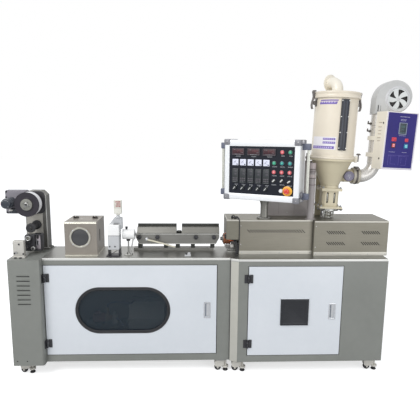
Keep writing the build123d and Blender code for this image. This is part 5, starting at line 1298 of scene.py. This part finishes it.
piece("white_knob", knob_white,
      [put(on_face(153.5, -135),
           turned_skin([(14, 0), (14.6, 1), (14, 8), (12.5, 14), (9, 17), (1, 17.6)], 40))])
piece("stop_ring", stop_yellow,
      [put(on_face(197, -135), turned_skin([(12, 0), (34, 0), (35, 0.8), (35, 2.6), (32, 4), (16, 5)], 56))])
piece("stop_button", stop_red, [
    put(on_face(197, -135),
        turned_skin([(13.6, 3), (13.6, 17), (19, 18.4), (20, 20.4), (20, 24), (18.4, 27.6), (14, 29.4),
                     (7, 29.9), (1, 30)], 48))])
piece("stop_arrows", pale_red, [
    put(turned_flat(197 + 12 * np.cos(a), -135 + 12 * np.sin(a), np.degrees(a) + 90, 29.2),
        slab(9, 2.2, 0.7, 1, 0.2))
    for a in np.radians([30, 150, 270])])

# Hopper: spun and welded sheet, enamelled cream, leaning a little. A cone with a flange and an air
# inlet, a cylinder with rolled rims, and a lid with a rolled edge and the outlet elbow.
DRYER = framework(2309, 200, 1225, lean=1.8)
cream = coat("cream enamel", (0.74, 0.665, 0.54), (0.81, 0.735, 0.61), 0.34, grain=600, bite=0.08, clear=0.2)
# The same cream enamel darkened for the cone, its inlet and the hopper's foot: painted shade.
cream_painted_shade = coat("cream enamel, painted shade", (0.56, 0.5, 0.35), (0.66, 0.59, 0.43), 0.38, grain=600,
                   bite=0.1, clear=0.1)
# The same enamel lightened for the elbow, the ring catches and the control box: painted light.
cream_painted_light = coat("cream enamel, painted light", (0.82, 0.77, 0.66), (0.88, 0.83, 0.73), 0.32, grain=600,
                   bite=0.08, clear=0.2)
upright_place = DRYER @ spot(0, 0, 0, v=(0, 1, 0))
cone_profile = [(40, 168), (66, 168), (67.5, 171),
                (70, 180)] + [(70 + 73 * t, 180 + 166 * t) for t in np.linspace(0.1, 1, 8)]
cone_profile += [(146, 350), (163, 351), (165, 352.5), (165, 364), (163.5, 366), (150, 367), (142, 367),
                 (139, 351), (60, 172), (40, 171)]
piece("cone_shell", cream_painted_shade, [put(upright_place, turned_skin(cone_profile, 96, closed=True))],
      stands_for=("hopper_cone",))
stub_place = DRYER @ spot(0, 0, 245, u=(0, 1, 0))
piece("cone_inlet", cream_painted_shade, [
    put(stub_place,
        turned_skin([(45, 60), (48, 60), (48, 96), (50, 99), (50, 103), (48, 106), (48, 160), (45, 160)], 56,
                    closed=True)),
    put(DRYER @ spot(116, -30, 245), slab(44, 44, 26, 6, 2))])
damper_grey = coat("damper disc", (0.13, 0.12, 0.17), (0.21, 0.195, 0.26), 0.42, patch=12, metal=0.2)
piece("damper", damper_grey, [
    put(DRYER @ spot(116, -54, 245),
        turned_skin([(34, 0), (37, 1), (37, 24), (35.5, 26.5), (31, 28), (28, 26.6), (1, 26.8)], 56))])
piece("damper_marks", caption_ink, dashes(DRYER @ spot(116, -80.8, 250), 34, 3, 7, 2.4, 6)
      + [put(DRYER @ spot(116, -80.8, 234), turned_skin([(4, 0), (4, 0.8), (3, 1.2)], 16))])
body_profile = [(140, 367), (163, 367), (165, 368.5), (165, 376), (163.5, 378.5), (156, 379.5), (153.6, 382),
                (153, 387),
                (153, 398), (154, 399.2), (154, 402), (153, 403.2), (153, 765), (154, 766.2), (154, 770),
                (153, 771.2),
                (153, 795), (150, 795), (150, 370)]
piece("hopper_shell", cream, [put(upright_place, turned_skin(body_profile, 128, closed=True))],
      stands_for=("hopper_body",))
lid_profile = [(1, 795), (168, 795), (169.6, 796), (170, 798), (170, 803), (167.5, 806), (165.5, 810),
               (165.5, 820), (167.4, 825),
               (169.6, 829), (170, 833), (168.6, 837), (164, 839.6), (158, 840.4), (100, 842), (66, 844.5),
               (61, 846.5), (59.6, 850.6), (44, 851)]
turn = np.radians(115)
elbow_arc = [(56 - 56 * np.cos(a), 859 + 56 * np.sin(a)) for a in np.linspace(0, np.pi / 2, 18)]
elbow_path = np.array([(0, 846), (0, 852)] + elbow_arc + [(66, 915), (79, 915)])
elbow_line = np.column_stack(
    [elbow_path[:, 0] * np.cos(turn), elbow_path[:, 0] * np.sin(turn), elbow_path[:, 1]])
piece("lid_shell", cream, [put(upright_place, turned_skin(lid_profile, 128))], stands_for=("hopper_lid",))
mouth_place = DRYER @ spot(78 * np.cos(turn), 78 * np.sin(turn), 915, u=(-np.sin(turn), np.cos(turn), 0))
piece("lid_elbow", cream_painted_light, [
    put(DRYER, swept(elbow_line, outline(80, 80, 40, 12))),
    put(mouth_place,
        turned_skin([(37, 2), (39, 0), (60.5, 0), (62, 1.5), (62, 6.5), (60.5, 8), (39, 8), (37, 7)], 64,
                    closed=True)),
    put(upright_place,
        turned_skin([(40, 851), (46, 851), (46, 853), (44, 857), (40.5, 859)], 48, closed=True))])
# A black ring inside the elbow's mouth paints the shade in it.
piece("elbow_mouth_shade", shade_and_seam_black, [put(mouth_place, turned_skin([(37.2, 1.4), (37.2, 2.2)], 40))])

# Fittings on the hopper: bowed toggle catches over the lid, screw catches on the lower ring, and
# the black-framed sight glass. Its two labels are plain bars.
catch_grey = coat("catch steel", (0.1, 0.09, 0.085), (0.165, 0.15, 0.14), 0.36, grain=600, bite=0.2,
                  metal=0.5)


def radial(azimuth):
    """The hopper's system with u pointing out at an azimuth and v up."""
    a = np.radians(azimuth)
    return DRYER @ spot(0, 0, 0, u=(np.cos(a), np.sin(a), 0))


bow = [(184, 716), (189, 728), (192, 745), (190, 766), (184, 788), (181, 806), (184, 826), (188, 838),
       (184, 849), (163, 850),
       (163, 841), (174, 838), (173, 826), (171, 806), (174, 788), (181, 766), (183, 745), (180, 728),
       (174, 718)]
catches = []
for azimuth in (5, 95, 185):
    catches.append(put(radial(azimuth), prism(bow, -11, 11)))
    catches.append(put(radial(azimuth), prism([(153, 742), (176, 750), (178, 772), (153, 782)], -8, 8)))
    catches.append(put(radial(azimuth), prism([(153, 736), (156.5, 736), (156.5, 790), (153, 790)], -17, 17)))
piece("lid_catches", catch_grey, catches, stands_for=("hopper_clamps",))
lower = []
for azimuth in (180, -8):
    lower.append(
        put(radial(azimuth),
            prism([(165, 342), (178, 342), (184, 350), (184, 384), (178, 390), (156, 390), (156, 381),
                   (165.4, 381)], -11, 11)))
piece("ring_catches", cream_painted_light, lower)
piece("wing_screws", catch_grey, [
    put(radial(-8), prism([(176, 398), (204, 398), (206, 406), (196, 411), (184, 411), (174, 406)], -4, 4)),
    put(radial(-8), prism([(186, 350), (194, 350), (194, 400), (186, 400)], -4, 4)),
    put(radial(180), prism([(184, 356), (196, 358), (198, 374), (184, 376)], -9, 9)),
    put(radial(180), prism([(186, 330), (193, 330), (193, 400), (186, 400)], -4, 4))])
sight_black = coat("sight frame", (0.014, 0.015, 0.022), (0.03, 0.032, 0.044), 0.42, grain=600, bite=0.12)
sight_dark = coat("sight glass", (0.012, 0.016, 0.028), (0.03, 0.038, 0.058), 0.3, patch=9, clear=0.15)
sight_turn = np.radians(5.5)
SIGHT = DRYER @ spot(163 * np.sin(sight_turn), -163 * np.cos(sight_turn), 607.5,
                     u=(np.cos(sight_turn), np.sin(sight_turn), 0))
piece("sight_frame", sight_black, [put(SIGHT, frame_ring(56, 355, 17, 9, 5, base=-17, edge=2)),
                                   put(SIGHT, slab(8, 340, 1.2, 2, 0.8, base=-3))],
                                   stands_for=("sight_glass",))
piece("sight_window", sight_dark, [put(SIGHT, slab(39, 338, 10, 2, 1, base=-14))])
clips = []
for z in (774, 664, 555, 446):
    for u in (-26, 26):
        at = np.eye(4)
        at[:3, 3] = (u, z - 607.5, -1.2)
        clips.append(put(SIGHT @ at, slab(9, 6, 2.4, 1.6, 0.8)))
piece("sight_clips", sheen_and_bright_steel, clips)
label_purple = coat("purple label", (0.13, 0.085, 0.36), (0.2, 0.14, 0.46), 0.42, patch=40)
label_white = coat("white label", (0.78, 0.75, 0.78), (0.85, 0.83, 0.85), 0.42, patch=30)
label_print = coat("label print", (0.5, 0.44, 0.68), (0.62, 0.56, 0.78), 0.4, patch=60)


def bent_plate(radius, thick, start, end, low, high, slant=0.0, steps=18):
    """A plate bent round the hopper between two azimuths and two heights, its top shifted by slant."""
    points = []
    for a in np.radians(np.linspace(start, end, steps + 1)):
        for reach, z, shift in ((radius, low, 0), (radius + thick, low, 0), (radius + thick, high, slant),
                                (radius, high, slant)):
            points.append((reach * np.cos(a + shift / radius), reach * np.sin(a + shift / radius), z))
    faces = strips(steps + 1, 4, False, True).tolist()
    return np.array(points), faces + [[3, 2, 1, 0], [4 * steps + k for k in range(4)]]


piece("purple_labels", label_purple, [put(DRYER, bent_plate(*sizes)) for sizes in (
    (153, 0.6, -156, -107, 748, 779, 12), (153.4, 0.5, -136, -103, 500, 514),
    (153.4, 0.5, -136, -103, 474, 489),
    (153.4, 0.5, -172, -105, 438, 457))])
piece("white_label", label_white, [put(DRYER, bent_plate(153, 0.5, -173, -101, 433, 522))])
prints = [put(DRYER, bent_plate(153.5, 0.45, -150 + 7 * i, -146 + 7 * i, 758, 770, 5, 2)) for i in range(6)]
prints += [put(DRYER, bent_plate(153.8, 0.3, -168 + 6 * i, -164.5 + 6 * i, 443, 452, 0, 2))
           for i in range(10)]
prints += [put(DRYER, bent_plate(153.8, 0.3, -134 + 5 * i, -131 + 5 * i, z, z + 7, 0, 2)) for i in range(6)
           for z in (504, 478)]
piece("label_bars", label_print, prints)

# Hopper's foot: a neck of thick sheet with two slots a side between machined plates, bolted through;
# below it the slide gate in its guides, and the throat that feeds the barrel.
throat_steel = brushed("throat steel", (0.42, 0.42, 0.4), (0.6, 0.6, 0.57), 0.22, along=(0, 0, 1), fine=500,
                       tint=0.85)
gate_steel = brushed("gate steel", (0.1, 0.1, 0.1), (0.2, 0.2, 0.19), 0.36, tint=0.8)
dress("hopper_base", cream_painted_shade, 1.5)
dress("slide_gate", gate_steel, 0.8)
dress("hopper_stay", cream_painted_shade, 1.5)
dress("feed_throat", throat_steel, 0.8)
slot_shades, slot_bars = [], []
for turn in range(4):
    a = np.radians(90 * turn - 90)
    for side in (-1, 1):
        at = DRYER @ spot(48.6 * np.cos(a) - side * 26 * np.sin(a), 48.6 * np.sin(a) + side * 26 * np.cos(a),
                          79, u=(-np.sin(a), np.cos(a), 0))
        slot_shades.append(put(at, slab(13.6, 77.6, 0.8, 0.5, 0.3)))
        slot_bars.append(put(at, slab(4, 60, 5, 1.5, 1, base=0.6)))
piece("neck_shade", shade_and_seam_black, slot_shades)
piece("neck_springs", throat_steel, slot_bars)
plate_bolts = []
for z, reach in ((149, 64), (14, 72)):
    for x in (-reach, reach):
        for y in (-reach, 0, reach):
            plate_bolts.append(
                put(DRYER @ spot(x, y, z, v=(0, 1, 0)),
                    turned_skin([(11, 0), (11, 1.6), (8.5, 1.6), (8.5, 8), (7, 9.4), (4.5, 9.4), (4.5, 13)],
                                6)))
piece("plate_bolts", screw_steel, plate_bolts)
piece("gate_guides", gate_steel,
      [put(DRYER @ spot(x, -78, -12, v=(0, 1, 0)), turned_skin([(7, 0), (7, 8), (5, 10)], 6))
       for x in (-50, 50)]
      + [put(DRYER @ spot(0, -46, -3.4), slab(112, 7, 16, 2, 1, base=-14))])
piece("gate_pull", catch_grey, [put(DRYER @ spot(97, 0, -12, u=(0, 1, 0)), slab(46, 12, 12, 5, 3)),
                                put(DRYER @ spot(97, -24, -12), slab(8, 12, 8, 3, 2))], body="slide_gate")
piece("throat_rings", throat_steel, [
    put(upright_place,
        turned_skin([(32, z), (35.5, z + 1), (36, z + 3), (35.5, z + 5), (32, z + 6)], 40, closed=True))
        for z in (-34, -52, -76)]
    + [put(DRYER @ spot(46 * np.cos(a), 46 * np.sin(a), -64, v=(0, 1, 0)),
           turned_skin([(7, -12), (7, 44), (6, 45)], 20)) for a in np.radians([-140, -40, 40, 140])])

# Air pipe: bright galvanised tube in a bend, joined to the cone's inlet by two flanges under a bowed
# clamp, with two hose clamps and their wing screws on its upright part.
pipe_silver = brushed("silver pipe", (0.58, 0.56, 0.53), (0.72, 0.7, 0.67), 0.28, along=(0, 0, 1), fine=260,
                      bite=0.06, tint=0.35, patch=8)
flange_grey = coat("inlet flange", (0.4, 0.37, 0.3), (0.52, 0.48, 0.4), 0.38, grain=600, bite=0.15)
bend = [(219 + 100 * np.sin(a), 345 - 100 * np.cos(a)) for a in np.linspace(0, np.pi / 2, 26)]
pipe_line = [(200, 245), (210, 245)] + bend + [(319, 380), (319, 460), (319, 540), (319, 620), (319, 699)]
path = np.array([(x, 0, z) for x, z in pipe_line], float)
piece("air_pipe", pipe_silver, [put(DRYER, swept(path, outline(96, 96, 48, 14)))],
      stands_for=("blower_pipe",))
flange_skin = [(44, 160), (59.5, 160), (61, 161.5), (61, 180), (60, 183), (54.5, 184), (54.5, 188), (60, 189),
               (61, 192),
               (61, 210.5), (59.5, 212), (49, 212), (48.4, 215), (44, 215)]
piece("inlet_flanges", flange_grey, [put(stub_place, turned_skin(flange_skin, 72, closed=True))])
band_shape = [(57, 178), (63, 179), (64, 183), (64, 189), (63, 193), (57, 194)]
arc_points, count = [], 40
for a in np.radians(np.linspace(20, 300, count)):
    arc_points += [(r * np.cos(a), r * np.sin(a), w) for r, w in band_shape]
arc_faces = strips(count, len(band_shape), False, True).tolist()
arc_faces += [list(range(len(band_shape)))[::-1],
              list(range((count - 1) * len(band_shape), count * len(band_shape)))]
piece("inlet_clamp", catch_grey, [
    put(stub_place, (np.array(arc_points), arc_faces)),
    put(DRYER @ spot(186, -10, 307, v=(0, 1, 0)), slab(30, 40, 8, 4, 2)),
    put(DRYER @ spot(186, -40, 300), slab(22, 16, 18, 4, 2)),
    put(DRYER @ spot(178, -56, 296), slab(34, 9, 7, 4, 2))])
hose_clamps, wings = [], []
for z in (578, 632):
    hose_clamps.append(put(DRYER @ spot(319, 0, z, v=(0, 1, 0)), turned_skin(
        [(47.8, -12), (51.5, -12), (53, -10.5), (53, -6), (51, -4.5), (51, 4.5), (53, 6), (53, 10.5),
         (51.5, 12), (47.8, 12)], 56, closed=True)))
    wings.append(
        put(DRYER @ spot(271, 0, z, u=(0, -1, 0)), turned_skin([(6, 0), (6, 16), (4, 18), (4, 25)], 16)))
    wings.append(put(DRYER @ spot(249, 0, z + 7), slab(9, 24, 5, 4, 1.5, base=-2.5)))
    wings.append(put(DRYER @ spot(268, -8, z), slab(14, 15, 16, 3, 2, base=-8)))
piece("hose_clamps", pipe_silver, hose_clamps)
piece("clamp_wings", catch_grey, wings)

# Blower: a scroll pressed from sheet and painted pale grey, its round shutter with five curved
# openings over the impeller's eye, and the finned motor behind.
blower_grey = coat("blower paint", (0.47, 0.47, 0.46), (0.57, 0.57, 0.56), 0.36, grain=600, bite=0.12,
                   clear=0.15)
ring_grey = coat("eye ring paint", (0.56, 0.56, 0.57), (0.64, 0.64, 0.65), 0.34, grain=600, bite=0.1,
                 clear=0.15)
shutter_white = coat("shutter", (0.6, 0.62, 0.62), (0.7, 0.72, 0.71), 0.34, patch=14)
t = np.linspace(0, 1, 60)
reach, sweep = 78 + 81 * t, np.radians(-90 + 270 * t)
spiral = np.column_stack([reach * np.cos(sweep), reach * np.sin(sweep)])
scroll = np.vstack([spiral, [(-159, -60), (-159, -110), (-63, -110), (-63, -92), (-56, -82), (-40, -78)]])
eye = DRYER @ spot(430, 48, 810)
inner_scroll = scroll * 0.965 + np.array([-2.2, -1.0])
middle_scroll = scroll * 0.985 + np.array([-1.0, -0.5])
piece("blower_scroll", blower_grey, [
    put(eye, loft(
        [(middle_scroll, 0), (scroll, 4), (scroll, 92), (middle_scroll, 95.4), (inner_scroll, 96)])),
    put(eye, turned_skin([(58, -1), (62, -1), (62, -6), (58, -6)], 48, closed=True))], stands_for=("blower",))
seam = scroll * 1.004 + 0.1
piece("blower_seams", ring_grey, [
    put(eye, loft([(scroll, 30), (seam, 31), (seam, 33), (scroll, 34)]))])
piece("blower_eye", ring_grey, [
    put(eye, turned_skin(
        [(76, 80), (76, 103), (77.5, 104), (84, 104), (86, 102.4), (87, 99), (92, 96.4), (94, 95)], 96,
        closed=True)),
    put(DRYER @ spot(319, -48, 712), slab(100, 6, 1.2, 1, 0.8))])
# A black disc behind the shutter paints the shade inside the blower's eye.
piece("blower_eye_shade", shade_and_seam_black, [put(eye, turned_skin([(76.2, 97.4), (76.2, 98), (1, 98)], 64))])
vanes = []
for i in range(18):
    a = np.radians(20 * i)
    vanes.append(
        put(eye @ spot(54 * np.cos(a), 54 * np.sin(a), 98, u=(np.cos(a + 0.5), np.sin(a + 0.5), 0),
                       v=(-np.sin(a + 0.5), np.cos(a + 0.5), 0)),
            slab(36, 1.6, 2.2, 0.6, 0.4)))
piece("impeller_vanes", catch_grey, vanes)
radii = np.concatenate([[9, 15], np.linspace(19, 68, 12), [71, 75.6]])
share = 0.2 + 0.36 * np.clip((radii - 19) / 49, 0, 1)
steps_in = np.linspace(0, 1, 5)[:-1]
grid = []
for radius, open_share in zip(radii, share):
    row = []
    for sector in range(5):
        for s in np.concatenate(
            [steps_in * open_share, open_share + (1 - open_share) * np.linspace(0, 1, 9)[:-1]]):
            a = np.radians(72 * (sector + s) + 10 - 34 * ((radius - 9) / 66) ** 1.3)
            row.append((radius * np.cos(a), radius * np.sin(a), 0.0))
    grid.append(row)
columns = 5 * 12
grid_faces = []
for r in range(len(radii) - 1):
    for c in range(columns):
        if 2 <= r < len(radii) - 3 and c % 12 < 4:
            continue
        d = (c + 1) % columns
        grid_faces.append([r * columns + c, r * columns + d, (r + 1) * columns + d, (r + 1) * columns + c])
shutter = piece("blower_shutter", shutter_white,
                [put(eye @ spot(0, 0, 102, v=(0, 1, 0)), (np.array(grid).reshape(-1, 3), grid_faces))],
                smooth=20)
thick = shutter.modifiers.new("thickness", "SOLIDIFY")
thick.thickness = 0.0015
thick.offset = 0
piece("shutter_hub", ring_grey, [
    put(eye, turned_skin([(12, 100.8), (12, 104), (9, 105.6), (1, 106)], 32))]
    + [put(eye @ spot(64 * np.cos(a), 64 * np.sin(a), 102.4, v=(0, 1, 0)), screw(3, 1.2))
       for a in np.radians([-20, 100, 190, 280])])
motor_fins = [(50, -95), (56, -94), (58, -90)]
for i in range(8):
    motor_fins += [(62, -84 + i * 8.8), (62, -80.4 + i * 8.8), (57, -79.6 + i * 8.8), (57, -75.8 + i * 8.8)]
piece("blower_motor", blower_grey,
      [put(eye, turned_skin([(10, -96)] + motor_fins + [(60, -8), (62, -6), (62, 0), (40, 0)], 56))])
# Black plates paint the shade in the duct's slot.
piece("duct_slot_shade", shade_and_seam_black, [put(DRYER @ spot(292, -47.4, 742), slab(7, 44, 0.9, 2, 0.3)),
                                  put(DRYER @ spot(310, -47.4, 742), slab(2.4, 38, 0.7, 1, 0.2))])

# Dryer's control box: cream sheet with louvres in its side, and a purple front in a pale border with
# a temperature controller, two lamps and two rocker switches.
CONTROL = DRYER @ np.array(framework(421, -170, 510)) @ framework(0, 0, 0, lean=0.8, turn=11.6)
dress("dryer_control_box", cream_painted_light, 1.5)
border_lilac = coat("front border", (0.62, 0.58, 0.66), (0.72, 0.68, 0.76), 0.34, patch=6)
purple = coat("purple front", (0.02, 0.015, 0.135), (0.032, 0.025, 0.19), 0.5, grain=700, bite=0.05, patch=5,
              specular=0.3)
purple_line = coat("faint print", (0.1, 0.075, 0.32), (0.14, 0.11, 0.38), 0.4, patch=40)
print_pale = coat("pale print", (0.42, 0.4, 0.56), (0.55, 0.53, 0.68), 0.4, patch=60)
screen_dark = coat("controller screen", (0.014, 0.028, 0.038), (0.03, 0.05, 0.06), 0.3, patch=16, clear=0.1)
screen_border = coat("controller frame", (0.16, 0.18, 0.27), (0.26, 0.29, 0.38), 0.4)
lamp_red = coat("red lamp", (0.5, 0.025, 0.06), (0.66, 0.05, 0.09), 0.3, patch=40)
rocker_red = coat("red rocker", (0.7, 0.09, 0.12), (0.82, 0.17, 0.19), 0.24, patch=40, clear=0.4)
rocker_cyan = coat("cyan rocker", (0.04, 0.4, 0.52), (0.1, 0.56, 0.66), 0.24, patch=40, clear=0.4)
front = CONTROL @ spot(0, 0, 0)
piece("control_border", border_lilac, [put(front, slab(250, 398, 1.2, 4, 0.8))])
piece("control_front", purple, [put(CONTROL @ spot(-1, -1.1, 4), slab(232, 382, 0.8, 3, 0.4))])


def on_box(u, v, lift=1.9):
    """A place on the control box's purple front."""
    return CONTROL @ spot(u, -lift, v)


piece("thermostat_frame", screen_border, [put(on_box(8, 89), frame_ring(64, 82, 4.4, 6, 3))])
piece("thermostat_screen", screen_dark, [put(on_box(8, 89), slab(54, 72, 2.4, 1, 0.5))])
piece("thermostat_figures", coat("pale figures", (0.05, 0.11, 0.12), (0.09, 0.17, 0.18), 0.4, patch=60), [
    *figures(on_box(8, 102, 4.4), "080", 15), *figures(on_box(8, 82, 4.4), "078", 10),
    *[put(on_box(8 + dx, 62, 4.3), slab(8, 5, 0.8, 1.5, 0.3)) for dx in (-18, -6, 6, 18)]])
piece("control_print", print_pale,
      dashes(on_box(14, 170), 96, 1, 201, 3.4) + dashes(on_box(8, 147), 50, 2, 202, 3.0, 8)
      + dashes(on_box(8, 40), 62, 1, 203, 2.6) + dashes(on_box(-56, -76), 60, 1, 204,
                                                        2.6) + dashes(on_box(42, -76), 46, 1, 205, 2.6))
lines = [put(on_box(u, -134), slab(1.6, height, 0.35, 0.4, 0.1)) for u,
         height in ((-82, 70), (-62, 50), (4, 66), (24, 40), (66, 60))]
lines += [put(on_box(u, v), slab(width, 1.6, 0.35, 0.4, 0.1)) for u, v,
          width in ((-52, -104, 60), (-40, -160, 44), (30, -104, 60), (45, -166, 44), (0, -98, 170))]
piece("control_diagram", purple_line, lines)
piece("control_lamps", lamp_red,
      [put(on_box(-52, 12), slab(38, 28, 2.2, 5, 1)),
       put(on_box(-52, 12, 3.8), turned_skin([(12, 0), (12, 3), (9, 5), (1, 5.6)], 28)),
       put(on_box(50, 10), slab(28, 24, 2, 5, 1))])
piece("control_rockers_red", rocker_red, [put(on_box(-54, -30, 4.5), slab(21, 24, 5, 3, 2))])
piece("control_rockers_cyan", rocker_cyan, [put(on_box(48, -32, 4.5), slab(21, 24, 5, 3, 2))])
piece("rocker_frames", maroon, [put(on_box(u, v), frame_ring(32, 36, 4, 4.5, 3)) for u, v in ((-54, -30),)])
piece("rocker_frames_cyan", coat("teal frame", (0.02, 0.1, 0.28), (0.04, 0.15, 0.36), 0.3),
      [put(on_box(48, -32), frame_ring(32, 36, 4, 4.5, 3))])
piece("rocker_marks", knob_white,
      [put(on_box(u, v, 9.6), slab(9, 2.4, 0.4, 1, 0.1)) for u, v in ((-54, -36), (48, -38))]
      + [put(on_box(u, v, 9.6), frame_ring(9, 9, 0.4, 1.8, 4.4, edge=0.1)) for u,
         v in ((-54, -24), (48, -26))])
side_vents = []
for v in (128, 98, 72, 49, 22, 1):
    side_vents.append(put(CONTROL @ spot(-127, 66, v, u=(0, -1, 0)), slab(38, 7, 2.2, 3, 1.6)))
piece("control_louvres", cream, side_vents)
piece("control_louvre_shade", mauve_dark,
      [put(CONTROL @ spot(-127, 66, v - 4.4, u=(0, -1, 0)), slab(36, 2, 0.5, 0.8, 0.2))
       for v in (128, 98, 72, 49, 22, 1)])
piece("control_screws", black_cast,
      [put(CONTROL @ spot(-127, y, v, u=(0, -1, 0)), screw(7, 2.4)) for y, v in ((32, 122), (40, -126))]
      + [put(CONTROL @ spot(x, 122, v, u=(-1, 0, 0)), screw(5)) for x in (-112, 112) for v in (-180, 180)])
piece("control_back", cream, [put(CONTROL @ spot(0, 122, 0, u=(-1, 0, 0)), slab(236, 380, 1.2, 4, 0.8))])
